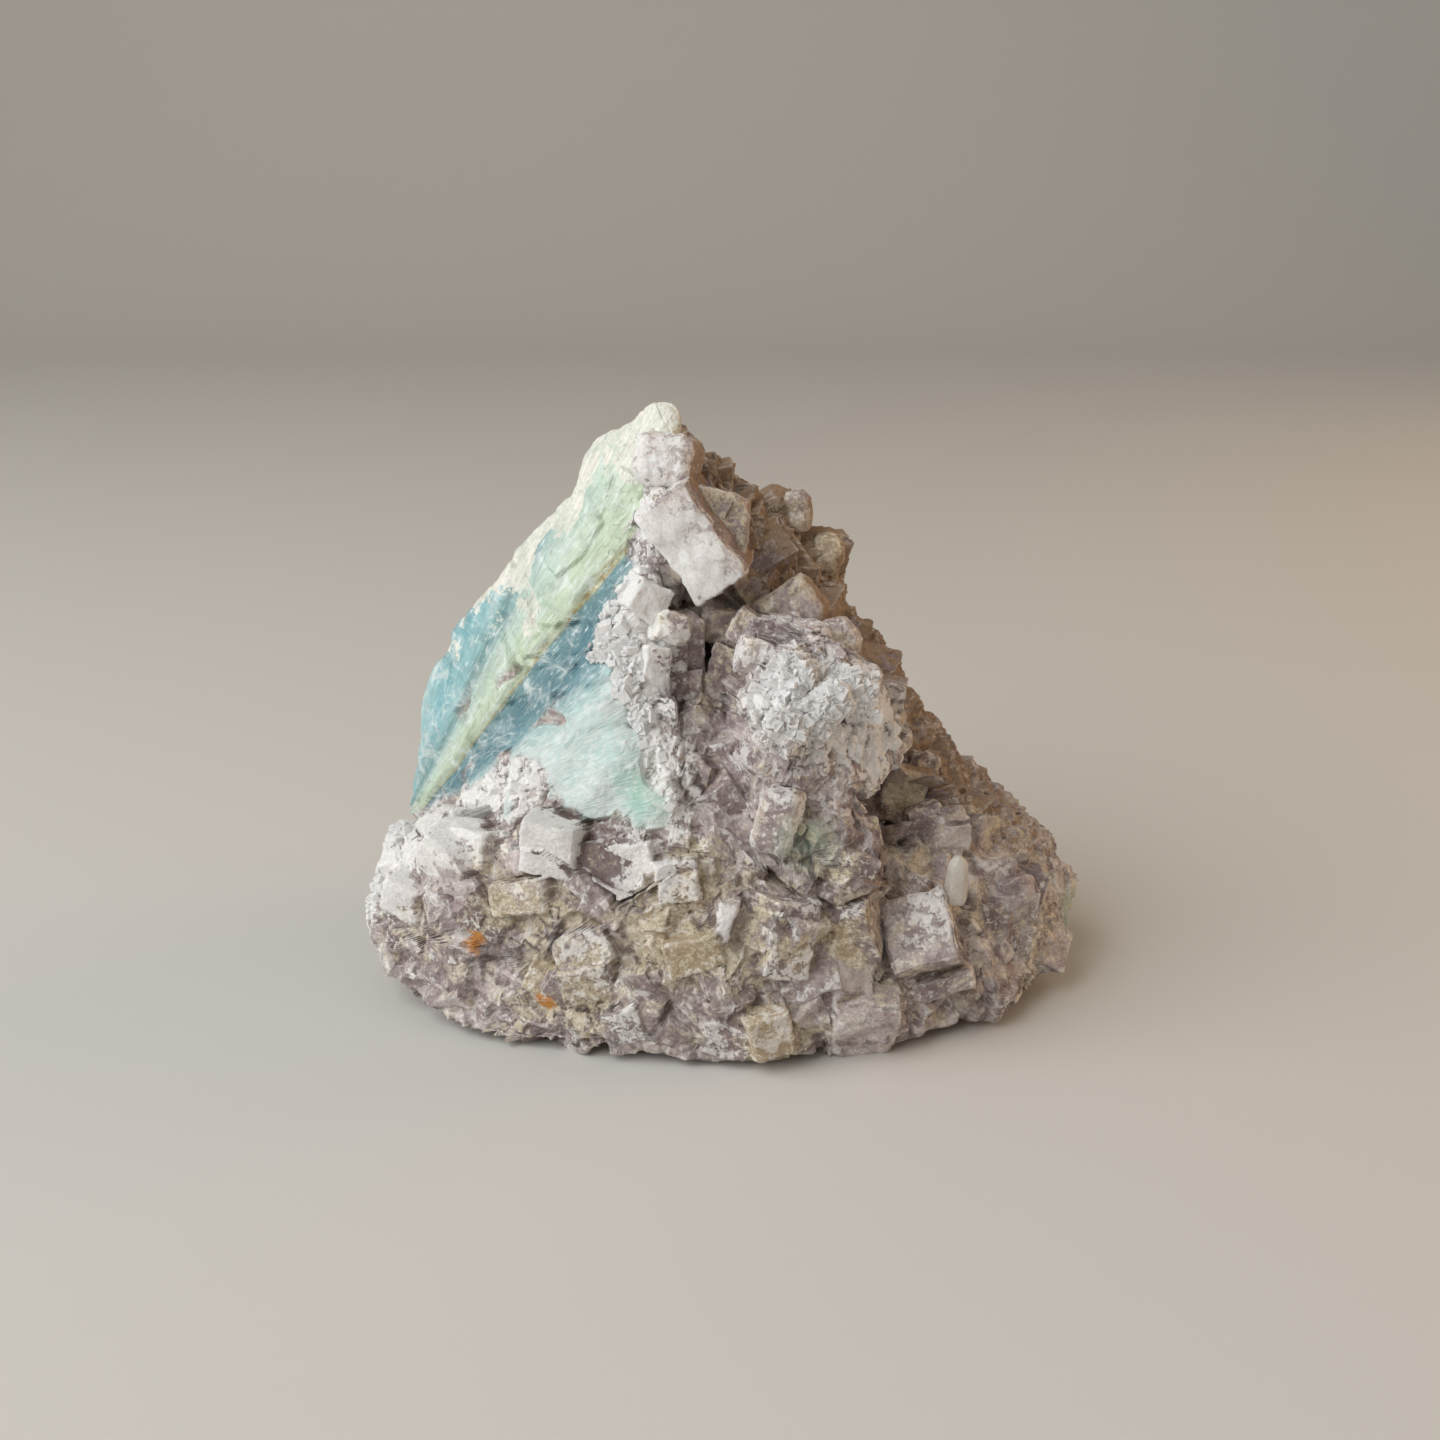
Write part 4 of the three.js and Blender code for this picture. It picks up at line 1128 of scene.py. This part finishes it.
def makePoint():
    # two parameters: round the crystal and up it. the radius is a hexagon's at that angle, blunted
    # with a circle's, wavers by a cosine and shrinks past the shoulder on a rounded curve
    turn = np.arange(point["around"]) / point["around"] * 2 * math.pi
    height = np.linspace(0, 1, point["rows"])
    side = (turn % (math.pi / 3)) - math.pi / 6
    flatted = np.cos(math.pi / 6) / np.cos(side) * point["hexagon"] + 1 - point["hexagon"]
    over = np.clip((height - point["shoulder"]) / (1 - point["shoulder"]), 0, 1)
    swell, waver = point["swell"]
    taper = np.sqrt(np.maximum(1 - over ** point["taper"], point["bluntness"]))
    taper *= 1 - swell + swell * np.cos(height * waver)
    reach = point["radius"] * taper[:, None] * flatted
    lift = np.repeat(height[:, None] * point["length"], len(turn), axis=1)
    rows = np.stack([reach * np.cos(turn), reach * np.sin(turn), lift], axis=2)
    ends = np.array([[0, 0, point["caps"][0]], [0, 0, point["length"] + point["caps"][1]]])
    local = np.concatenate([rows.reshape(-1, 3), ends])
    points = local @ fromUp(unit(np.array([point["towards"]], float)))[0].T + point["foot"]
    points += noiseVectors(points, point["wobble"], 1)
    index = np.arange(rows[..., 0].size).reshape(rows.shape[:2])
    following = np.roll(index, -1, axis=1)
    first = np.stack([index[:-1], following[:-1], following[1:]], axis=2).reshape(-1, 3)
    second = np.stack([index[:-1], following[1:], index[1:]], axis=2).reshape(-1, 3)
    low = np.stack([np.full(len(turn), index.size), following[0], index[0]], axis=1)
    high = np.stack([np.full(len(turn), index.size + 1), index[-1], following[-1]], axis=1)
    return meshFrom("clearPoint", points, np.concatenate([first, second, low, high]), {}, False)


def boxes(centres, sizes, turns):
    # blocks with eight corners and six faces each
    corners = np.array(list(np.ndindex(2, 2, 2))) - 0.5
    quads = np.array([[0, 1, 3, 2], [4, 6, 7, 5], [0, 4, 5, 1], [2, 3, 7, 6], [0, 2, 6, 4], [1, 5, 7, 3]])
    points = centres[:, None] + np.einsum("nij,nkj->nki", turns, corners * sizes[:, None])
    faces = quads[None] + (np.arange(len(centres)) * len(corners))[:, None, None]
    return points.reshape(-1, 3), faces.reshape(-1, 4)


# Sugar: tiny crystals where the crust is white
sugar = {
    "count": 2000,
    "smallest": 0.5,
    "largest": 2.2,
    "stretch": [0.7, 1.3],
    "clumps": [[4, 92, 1]],  # a noise, and the values of it between which grains set in
    "clumpEdge": [-0.35, 0.35],
    "betweenClumps": 0.15,  # how many stand between the clumps
    "spotEdge": [0.25, 1.0],
    "crustEdge": [-0.5, 0.5],
    "rim": 0.3,
    "seed": 91,
}


def makeSugar():
    # grains of random size and turn, half sunk into the broken surface
    def weigh(points):
        clumps = smoothstep(*sugar["clumpEdge"], noiseSum(points, sugar["clumps"])) + sugar["betweenClumps"]
        inSpots = smoothstep(*sugar["spotEdge"], spotSum(points, "sugar"))
        return inSpots * smoothstep(*sugar["crustEdge"], crustDepth(points)) * clumps
    centres, _ = scatterOn(brokenGrid, outwardGrid, sugar["count"], sugar["seed"], weigh)
    chance = np.random.default_rng(sugar["seed"] + 1)
    edges = chance.uniform(sugar["smallest"] ** 0.5, sugar["largest"] ** 0.5, len(centres)) ** 2
    sizes = edges[:, None] * chance.uniform(*sugar["stretch"], (len(centres), 3))
    points, faces = boxes(centres, sizes, randomTurns(len(centres), sugar["seed"]))
    points[:, 2] = np.maximum(points[:, 2], 0)
    face = np.repeat(chance.uniform(0, 1, len(centres)), len(points) // len(centres))
    zero = np.zeros(len(points))
    values = {"crust": zero + 1, "rim": zero + sugar["rim"], "face": face}
    values |= {"sunk": zero, "rind": zero, "brown": zero}
    values |= {kind: spotSum(points, kind) for kind in shadedSpots}
    return meshFrom("sugarGrains", points, faces, values, True)


print("shapes defined")


def linear(red, green, blue):
    # a colour given in display values of 0 to 255, as the linear values that a shader takes
    shares = np.array([red, green, blue]) / 255
    return (*np.where(shares <= 0.04045, shares / 12.92, ((shares + 0.055) / 1.055) ** 2.4), 1)


def fill(tree, made, inputs):
    # a socket is linked to its input and anything else becomes the input's value
    for key, value in inputs.items():
        if isinstance(value, bpy.types.NodeSocket):
            tree.links.new(value, made.inputs[key])
        else:
            made.inputs[key].default_value = value
    return made


def add(tree, kind, inputs=None, **settings):
    # a new node with its settings and inputs
    made = tree.nodes.new(kind)
    for key, value in settings.items():
        setattr(made, key, value)
    return fill(tree, made, inputs or {})


def maths(tree, operation, *values):
    # one sum, product or the like of up to three values
    return add(tree, "ShaderNodeMath", dict(enumerate(values)), operation=operation).outputs[0]


def times(tree, first, second):
    # the product of two values
    return maths(tree, "MULTIPLY", first, second)


def timesPlus(tree, first, second, more):
    # first times second, plus more
    return maths(tree, "MULTIPLY_ADD", first, second, more)


def less(tree, first, second):
    # the first value minus the second
    return maths(tree, "SUBTRACT", first, second)


def most(tree, first, second):
    # the larger of two values
    return maths(tree, "MAXIMUM", first, second)


def between(tree, value, low, high, first=0.0, last=1.0):
    # value from low to high becomes first to last, on a smooth step
    inputs = {"Value": value, "From Min": low, "From Max": high, "To Min": first, "To Max": last}
    return add(tree, "ShaderNodeMapRange", inputs, interpolation_type="SMOOTHSTEP").outputs[0]


def weighted(tree, start, *pairs):
    # a number plus each value less a half, times its weight
    total = start
    for value, weight in pairs:
        total = timesPlus(tree, less(tree, value, 0.5), weight, total)
    return total


def mixed(tree, share, first, second):
    # the first colour for a share of 0, the second for 1
    return add(tree, "ShaderNodeMix", {"Factor": share, 6: first, 7: second}, data_type="RGBA").outputs[2]


def scaled(tree, vector, amount):
    # a vector or a colour times a number
    return add(tree, "ShaderNodeVectorMath", {0: vector, "Scale": amount}, operation="SCALE").outputs[0]


def noise(tree, place, scale, detail=3.0, rough=0.5):
    # smooth noise, which stays mostly between 0.3 and 0.7 about a mean of 0.5
    inputs = {"Vector": place, "Scale": scale, "Detail": detail, "Roughness": rough}
    return add(tree, "ShaderNodeTexNoise", inputs).outputs["Fac"]


def cells(tree, place, scale):
    # a random value for each cell round the scattered seeds
    return add(tree, "ShaderNodeTexVoronoi", {"Vector": place, "Scale": scale}).outputs["Color"]


def attribute(tree, name):
    # a value that the mesh holds for each vertex
    return add(tree, "ShaderNodeAttribute", attribute_name=name).outputs["Fac"]


def newGroup(name, takes, gives):
    # an empty node group with named inputs and outputs; a number or a colour is an input's default
    tree = bpy.data.node_groups.new(name, "ShaderNodeTree")
    for title, value in takes.items():
        kind = "NodeSocketFloat" if isinstance(value, float) else "NodeSocketColor"
        tree.interface.new_socket(title, in_out="INPUT", socket_type=kind).default_value = value
    for title, kind in gives.items():
        tree.interface.new_socket(title, in_out="OUTPUT", socket_type=kind)
    start = tree.nodes.new("NodeGroupInput").outputs
    end = tree.nodes.new("NodeGroupOutput").inputs
    return tree, start, end


def useGroup(tree, group, inputs):
    # a group placed in a tree, with its inputs linked or set
    return add(tree, "ShaderNodeGroup", inputs, node_tree=group).outputs


def inMillimetres(tree):
    # the object's own coordinates, in millimetres
    return scaled(tree, add(tree, "ShaderNodeTexCoord").outputs["Object"], 1 / mm)


finishOutputs = {"Colour": "NodeSocketColor", "Rough": "NodeSocketFloat", "Height": "NodeSocketFloat"}
tints = {  # display values
    "Wine": linear(126, 110, 109),
    "Mauve": linear(158, 143, 143),
    "Lilac": linear(194, 182, 180),
    "Pale": linear(224, 215, 210),
    "White": linear(250, 249, 247),
    "Tan": linear(192, 172, 132),
    "Cream": linear(232, 222, 192),
    "Rust Colour": linear(205, 140, 66),
    "Green Colour": linear(180, 197, 180),
    # painted shade for the recesses between the crystals
    "Recess Shade": linear(98, 81, 66),
    # partly a real coat, partly painted warm shade on the side that faces right
    "Brown Coat Shade": linear(150, 124, 100),
}
crystalInputs = {
    "Rim": 1.0, "Face": 0.5, "Sunk": 0.0, "Frost": 0.0, "Ochre": 0.0, "Rust": 0.0, "Green": 0.0, "Deep": 0.0,
    "Brown": 0.0,
}


crystalNoises = [  # broad, cloud, patch and grain: scale per millimetre, detail and roughness
    [0.09, 3, 0.5],
    [0.22, 4, 0.6],
    [0.55, 4, 0.65],
    [1.6, 4, 0.7],
]
crystalCells = [2.0, 0.9, 0.42]  # fine and coarse granules, and the mosaic of small crystals
crystalLook = {
    "granules": [0.3, 0.25],  # weights of the granules in what a mask lets show
    "tone": [0.6, 1.0, 0.6, 0.3, 0.35],  # and of face, cloud, patch, mosaic and grain in the tone
    "deep": -0.4,
    "mauve": [0.05, 0.42],  # tones between which the colour changes to each of these
    "lilac": [0.36, 0.66],
    "pale": [0.62, 0.98],
    "recessShade": 0.5,  # how much of the colour each coat, and the painted shade in recesses, hides
    "fuzz": 0.64,
    "brownCoatShade": 0.85,
    "frost": [0.5, 0.85],
    "shade": [0.88, 1.08],  # how much darker and lighter the grain makes it
    "roughness": [0.22, 0.75],  # of clear and of coated crystal
    "granuleHeight": [0.02, 0.3],  # in millimetres, and what a coat adds
    "mosaicHeight": 0.12,
    "grainHeight": 0.15,
}


def crystalFinishGroup():
    # clouded lilac crystal, a different tone on each face, under grains: painted shade low down between the
    # crystals and in noisy patches, tan and cream fuzz, a brown coat that is partly painted warm shade, white
    # frost with a white edge line that is partly painted highlight. grains are small cells that a mask lets
    # show or not
    tree, take, give = newGroup("crystalFinish", crystalInputs | tints, finishOutputs)
    place = inMillimetres(tree)
    broad, cloud, patch, grain = (noise(tree, place, *look) for look in crystalNoises)
    warp = add(tree, "ShaderNodeTexNoise", {"Vector": place, "Scale": 0.8}).outputs["Color"]
    bent = add(tree, "ShaderNodeVectorMath", {0: place, 1: scaled(tree, warp, 1.2)}).outputs[0]
    finer, coarser, mosaics = crystalCells
    sizes = [cells(tree, place, finer), cells(tree, place, coarser)]
    granules = weighted(tree, 0.5, *zip(sizes, crystalLook["granules"]))
    mosaic = cells(tree, bent, mosaics)

    def grains(amount, soft=0.1):
        # where grains show: everywhere for an amount of 1, nowhere for 0
        shown = less(tree, maths(tree, "ADD", amount, 0.5), granules)
        return between(tree, shown, 0.52 - soft, 0.52 + soft)

    tone = weighted(tree, 0.5, *zip((take["Face"], cloud, patch, mosaic, grain), crystalLook["tone"]))
    tone = timesPlus(tree, take["Deep"], crystalLook["deep"], tone)
    colour = take["Wine"]
    for tint in ("Mauve", "Lilac", "Pale"):
        colour = mixed(tree, between(tree, tone, *crystalLook[tint.lower()]), colour, take[tint])
    green = between(tree, weighted(tree, take["Green"], (grain, 0.5)), 0.15, 0.9)
    colour = mixed(tree, green, colour, take["Green Colour"])
    # painted shade: darker where a place lies below the relief round it, and in noisy patches; the same keeps
    # frost out of those places
    low = times(tree, take["Sunk"], 0.45)
    recessShade = grains(weighted(tree, maths(tree, "ADD", low, 0.04), (cloud, 0.9), (patch, 0.6)))
    colour = mixed(tree, times(tree, recessShade, crystalLook["recessShade"]), colour, take["Recess Shade"])

    # tan and cream fuzz; another random number of the same face varies it from face to face
    other = maths(tree, "FRACT", times(tree, take["Face"], 7.3))
    ochre = timesPlus(tree, take["Frost"], -0.35, times(tree, take["Ochre"], 0.75))
    ochre = maths(tree, "ADD", ochre, 0.34)
    ochre = weighted(tree, ochre, (broad, 1.2), (cloud, 1.0), (patch, 0.9), (other, 0.4))
    fuzz = grains(ochre, 0.24)
    tan = between(tree, weighted(tree, grain, (patch, 0.8), (take["Ochre"], -0.15)), 0.34, 0.6)
    tan = mixed(tree, tan, take["Tan"], take["Cream"])
    colour = mixed(tree, times(tree, fuzz, crystalLook["fuzz"]), colour, tan)
    # brown coat: partly a real coat, partly painted warm shade on the side that faces right
    coat = times(tree, take["Brown"], 0.75)
    coat = grains(weighted(tree, coat, (cloud, 1.4), (patch, 1.0), (other, 0.3)))
    colour = mixed(tree, times(tree, coat, crystalLook["brownCoatShade"]), colour, take["Brown Coat Shade"])
    rust = between(tree, weighted(tree, take["Rust"], (grain, 0.8)), 0.45, 0.8)
    colour = mixed(tree, rust, colour, take["Rust Colour"])

    # white frost in patches, and a white line along the edges of the crystals that is partly frost and partly
    # painted highlight
    clear = timesPlus(tree, take["Frost"], 0.7, 0.2)
    clear = weighted(tree, clear, (patch, 1.2), (cloud, -0.9), (mosaic, 0.4), (other, -0.3))
    clear = less(tree, clear, times(tree, take["Brown"], 0.5))
    frost = grains(less(tree, clear, low))
    # white edge line: partly frost, partly painted highlight
    edge = between(tree, weighted(tree, take["Rim"], (grain, 0.9)), 0.0, 0.4, 1.0, 0.0)
    edge = times(tree, edge, between(tree, patch, 0.35, 0.6, 0.2, 0.9))
    frost = most(tree, frost, edge)
    frosty = times(tree, frost, between(tree, take["Frost"], 0.0, 1.0, *crystalLook["frost"]))
    colour = mixed(tree, frosty, colour, take["White"])
    colour = scaled(tree, colour, between(tree, grain, 0.3, 0.7, *crystalLook["shade"]))
    tree.links.new(colour, give["Colour"])
    rough = most(tree, most(tree, frost, fuzz), most(tree, recessShade, coat))
    tree.links.new(between(tree, rough, 0.0, 0.8, *crystalLook["roughness"]), give["Rough"])
    plain, coated = crystalLook["granuleHeight"]
    height = times(tree, granules, timesPlus(tree, rough, coated, plain))
    height = timesPlus(tree, mosaic, crystalLook["mosaicHeight"], height)
    tree.links.new(timesPlus(tree, grain, crystalLook["grainHeight"], height), give["Height"])
    return tree


bands = [  # angle round the line that the layers fan out from, and colour in display values
    (-30, (170, 204, 194)),
    (5, (190, 214, 208)),
    (25, (198, 222, 218)),
    (34, (208, 228, 225)),
    (38.5, (184, 212, 211)),
    (41, (142, 176, 182)),
    (44, (108, 146, 156)),
    (48, (98, 138, 149)),
    (51.5, (116, 152, 158)),
    (52.4, (138, 162, 158)),
    (53, (198, 204, 172)),
    (54.4, (200, 212, 190)),
    (57, (202, 218, 192)),
    (60, (204, 222, 204)),
    (62.5, (194, 216, 206)),
    (64.2, (148, 180, 180)),
    (65.6, (122, 160, 160)),
    (67.5, (156, 196, 198)),
    (72, (132, 184, 192)),
    (76, (158, 200, 204)),
    (84, (186, 216, 208)),
    (95, (150, 190, 188)),
    (110, (186, 212, 200)),
    (125, (140, 176, 172)),
    (150, (176, 206, 192)),
]


layerInputs = {"Rind": 0.0, "Green": 0.0, "Face": 0.5, "Rim": 1.0, "Veil": 0.0}
layerTints = {
    "White": linear(232, 240, 238),
    "Brown": linear(176, 150, 92),
    "Rind Colour": linear(240, 238, 228),
    "Rind Shade": linear(216, 222, 210),
    "Fan Green": linear(160, 200, 184),
    "Far": linear(220, 230, 206),
    "Veil White": linear(234, 232, 230),
}
layerNoises = {  # scale per millimetre, detail and roughness
    "waver": [0.06, 3, 0.55],
    "broken": [0.8, 4, 0.7],
    "cloud": [0.16, 4, 0.6],
    "wisps": [0.5, 4, 0.6],  # these two are drawn out along the layers
    "fine": [2.4, 3, 0.6],
}
layerDraw = [75, 0.06, 0.2]  # millimetres to a radian across the layers, shares along them and inwards

layerLook = {
    "waver": 4,  # degrees by which the bands waver, and fray
    "fray": 4,
    "streaks": [0.55, 0.68],  # values of the fine noise between which a white streak sets in
    "milk": 0.45,  # how much of the colour white patches hide, and the far end, seam, cracks and veil
    "far": 0.6,
    "farFrom": [76, 104],  # millimetres from the line
    "seamAt": 52.8,  # degrees
    "seam": 0.8,
    "crack": 0.7,
    "veil": 0.45,
    "faceShade": [0.93, 1.05],
    "streakShade": [0.86, 1.06],
    "roughness": [0.3, 0.7],  # of clear stone, and of streaks and rind
    "streakHeight": 0.2,  # in millimetres
    "brokenHeight": 0.22,
}


def growthLayersGroup():
    # bands that fan out from one line, with fine white streaks drawn out along them, a thin brown seam,
    # a frosty veil and white rind
    tree, take, give = newGroup("growthLayers", layerInputs | layerTints, finishOutputs)
    place = inMillimetres(tree)
    fromEnd = {0: place, 1: stone["layerEnd"]}
    away = add(tree, "ShaderNodeVectorMath", fromEnd, operation="SUBTRACT").outputs[0]
    parts = [
        add(tree, "ShaderNodeVectorMath", {0: away, 1: tuple(axis)}, operation="DOT_PRODUCT").outputs["Value"]
        for axis in layerFrame()
    ]
    angle = maths(tree, "ARCTAN2", parts[1], parts[0])
    along = maths(tree, "SQRT", timesPlus(tree, parts[0], parts[0], times(tree, parts[1], parts[1])))
    stretched = [times(tree, part, share) for part, share in zip((angle, along, parts[2]), layerDraw)]
    drawn = add(tree, "ShaderNodeCombineXYZ", dict(enumerate(stretched))).outputs[0]
    waver, broken, cloud = (noise(tree, place, *layerNoises[name]) for name in ("waver", "broken", "cloud"))
    wisps, fine = (noise(tree, drawn, *layerNoises[name]) for name in ("wisps", "fine"))
    degrees = maths(tree, "DEGREES", angle)
    degrees = weighted(tree, degrees, (waver, layerLook["waver"]), (wisps, layerLook["fray"]))
    low, high = bands[0][0], bands[-1][0]
    ramp = add(tree, "ShaderNodeValToRGB", {0: maths(tree, "DIVIDE", less(tree, degrees, low), high - low)})
    for number, (at, shown) in enumerate(bands):
        stops = ramp.color_ramp.elements
        stop = stops[number] if number < 2 else stops.new(1)
        stop.position = (at - low) / (high - low)
        stop.color = linear(*shown)
    green = between(tree, timesPlus(tree, broken, 0.5, take["Green"]), 0.4, 1.2)
    colour = mixed(tree, green, ramp.outputs[0], take["Fan Green"])
    streak = times(tree, between(tree, fine, *layerLook["streaks"]), between(tree, broken, 0.42, 0.62))
    milk = timesPlus(tree, broken, 0.5, times(tree, cloud, 0.8))
    white = most(tree, streak, between(tree, milk, 0.6, 0.85, 0.0, layerLook["milk"]))
    colour = mixed(tree, white, colour, take["White"])
    far = weighted(tree, along, (cloud, 40.0))
    far = between(tree, far, *layerLook["farFrom"], 0.0, layerLook["far"])
    colour = mixed(tree, far, colour, take["Far"])
    seam = maths(tree, "ABSOLUTE", less(tree, degrees, layerLook["seamAt"]))
    seam = between(tree, seam, 0.1, 0.6, 1.0, 0.0)
    seam = times(tree, seam, between(tree, broken, 0.4, 0.6, 0.0, layerLook["seam"]))
    colour = mixed(tree, seam, colour, take["Brown"])
    crack = between(tree, timesPlus(tree, broken, 0.5, take["Rim"]), 0.25, 0.5, 1.0, 0.0)
    crack = times(tree, crack, between(tree, cloud, 0.4, 0.6, 0.0, layerLook["crack"]))
    colour = mixed(tree, crack, colour, take["White"])
    veil = weighted(tree, take["Veil"], (broken, 2.2), (wisps, 1.0))
    veil = between(tree, veil, 0.3, 1.2, 0.0, layerLook["veil"])
    colour = mixed(tree, veil, colour, take["Veil White"])
    colour = scaled(tree, colour, between(tree, take["Face"], 0.0, 1.0, *layerLook["faceShade"]))
    speck = cells(tree, place, 1.6)
    rind = between(tree, weighted(tree, take["Rind"], (broken, 1.2), (speck, 0.3)), 0.3, 0.6)
    coat = between(tree, weighted(tree, cloud, (broken, 0.8), (speck, 0.3)), 0.3, 0.62)
    coat = mixed(tree, coat, take["Rind Shade"], take["Rind Colour"])
    colour = mixed(tree, rind, colour, coat)
    colour = scaled(tree, colour, between(tree, fine, 0.3, 0.7, *layerLook["streakShade"]))
    tree.links.new(colour, give["Colour"])
    rough = between(tree, most(tree, white, rind), 0.0, 1.0, *layerLook["roughness"])
    tree.links.new(rough, give["Rough"])
    height = times(tree, broken, layerLook["brokenHeight"])
    tree.links.new(timesPlus(tree, fine, layerLook["streakHeight"], height), give["Height"])
    return tree


crystalFinish = crystalFinishGroup()
growthLayers = growthLayersGroup()
fluoriteIor = 1.43
quartzIor = 1.54


def readInputs(tree, titles):
    # the mesh attributes that have the names of a group's inputs
    return {title: attribute(tree, title.lower()) for title in titles}


def newMaterial(name):
    # a material with an empty node tree
    material = bpy.data.materials.new(name)
    material.use_nodes = True
    material.node_tree.nodes.clear()
    return material


def principled(tree, finish, **values):
    # the surface shader, with a finish's colour, roughness and height, and its own plain values
    bump = add(tree, "ShaderNodeBump", {"Height": finish["Height"], "Distance": mm})
    inputs = {"Base Color": finish["Colour"], "Roughness": finish["Rough"], "Normal": bump.outputs[0]}
    shader = add(tree, "ShaderNodeBsdfPrincipled", inputs | values)
    tree.links.new(shader.outputs[0], add(tree, "ShaderNodeOutputMaterial").inputs["Surface"])


def stoneMaterial():
    # bare banded fluorite, and crystal finish where the crust attribute says so
    material = newMaterial("bandedFluorite")
    tree = material.node_tree
    crystal = useGroup(tree, crystalFinish, readInputs(tree, crystalInputs))
    layer = useGroup(tree, growthLayers, readInputs(tree, layerInputs))
    share = attribute(tree, "crust")
    finish = {
        key: add(tree, "ShaderNodeMix", {0: share, 2: layer[key], 3: crystal[key]}).outputs[0]
        for key in ("Rough", "Height")
    }
    finish["Colour"] = mixed(tree, share, layer["Colour"], crystal["Colour"])
    principled(tree, finish, IOR=fluoriteIor)
    return material


def cubeMaterial():
    # crystal finish that lets a little light in
    material = newMaterial("lilacCubes")
    tree = material.node_tree
    soft = {"Subsurface Weight": 0.35, "Subsurface Radius": (1, 0.8, 0.7), "Subsurface Scale": 1.8 * mm}
    principled(tree, useGroup(tree, crystalFinish, readInputs(tree, crystalInputs)), IOR=fluoriteIor, **soft)
    return material


def pointMaterial():
    # clear and a little milky, with fine frosting
    material = newMaterial("clearCrystal")
    tree = material.node_tree
    place = inMillimetres(tree)
    frosting = noise(tree, place, *point["frosting"])
    bump = add(tree, "ShaderNodeBump", {"Height": frosting, "Distance": point["frostingHeight"] * mm})
    shader = add(tree, "ShaderNodeBsdfPrincipled", {
        "Base Color": linear(246, 242, 234),
        "Roughness": point["roughness"],
        "IOR": quartzIor,
        "Transmission Weight": point["transmission"],
        "Normal": bump.outputs[0],
    })
    tree.links.new(shader.outputs[0], add(tree, "ShaderNodeOutputMaterial").inputs["Surface"])
    return material


banded = stoneMaterial()
for wedge in makeStone():
    finishPiece(wedge, banded)
lilac = cubeMaterial()
for piece in (makeStanding(), makeSugar()):
    finishPiece(piece, lilac)
finishPiece(makePoint(), pointMaterial())


# Studio: floor, light and camera
studio = {
    "floorWidth": 4.0,
    "floorFront": -2.0,
    "floorBack": 1.1,
    "sweepRadius": 0.6,
    "sweepSteps": 24,
    "wallHeight": 2.2,
    "floorColour": linear(214, 212, 208),
    "floorRoughness": 0.6,
    "cameraPlace": (0, -0.385, 0.177),
    "cameraDown": 17.8,  # degrees below level
    "sensor": 36,
    "lens": 47.25,
    "aim": (0, 0, 0.05),
    "lights": {  # place, width, power and colour
        "window": [(-0.8, -0.5, 0.78), 1.5, 15, (0.97, 0.99, 1.0)],
        "warmBounce": [(0.9, 0.25, 0.35), 0.8, 3.0, (1.0, 0.6, 0.3)],
    },
    "roomColour": (1.0, 0.91, 0.8, 1),
    "roomLight": 0.27,
}


def makeFloor():
    # a sheet that runs back level, turns up on a quarter circle and goes on as a wall
    bend = np.linspace(0, math.pi / 2, studio["sweepSteps"])
    radius = studio["sweepRadius"]
    back = studio["floorBack"]
    y = np.concatenate([[studio["floorFront"]], back + radius * np.sin(bend), [back + radius]])
    z = np.concatenate([[0], radius * (1 - np.cos(bend)), [studio["wallHeight"]]])
    x = np.array([-1, 1]) * studio["floorWidth"] / 2
    points = np.stack([np.tile(x, len(y)), np.repeat(y, 2), np.repeat(z, 2)], axis=1) / mm
    start = np.arange(len(y) - 1) * 2
    faces = np.stack([start, start + 1, start + 3, start + 2], axis=1)
    floor = meshFrom("floor", points, faces, {}, False)
    material = newMaterial("paleFloor")
    tree = material.node_tree
    inputs = {"Base Color": studio["floorColour"], "Roughness": studio["floorRoughness"]}
    shader = add(tree, "ShaderNodeBsdfPrincipled", inputs)
    tree.links.new(shader.outputs[0], add(tree, "ShaderNodeOutputMaterial").inputs["Surface"])
    floor.data.materials.append(material)


def areaLight(name, place, size, power, colour):
    # a round soft light that faces the stone
    light = bpy.data.lights.new(name, "AREA")
    light.shape = "DISK"
    light.size = size
    light.energy = power
    light.color = colour
    lamp = bpy.data.objects.new(name, light)
    lamp.location = place
    lamp.rotation_euler = (Vector(studio["aim"]) - Vector(place)).to_track_quat("-Z", "Y").to_euler()
    bpy.context.scene.collection.objects.link(lamp)


def makeStudio():
    # floor, a cool window to the left, a weak warm light from the right, a warm room, and the camera
    makeFloor()
    for name, light in studio["lights"].items():
        areaLight(name, *light)
    world = bpy.data.worlds.new("room")
    world.use_nodes = True
    background = world.node_tree.nodes["Background"].inputs
    background[0].default_value = studio["roomColour"]
    background[1].default_value = studio["roomLight"]
    bpy.context.scene.world = world
    lens = bpy.data.cameras.new("camera")
    lens.sensor_width = studio["sensor"]
    lens.lens = studio["lens"]
    lens.clip_start = 0.01
    camera = bpy.data.objects.new("camera", lens)
    camera.location = studio["cameraPlace"]
    camera.rotation_euler = (math.radians(90 - studio["cameraDown"]), 0, 0)
    bpy.context.scene.collection.objects.link(camera)
    bpy.context.scene.camera = camera
    bpy.context.scene.view_settings.view_transform = "Standard"


makeStudio()
print("studio ready")
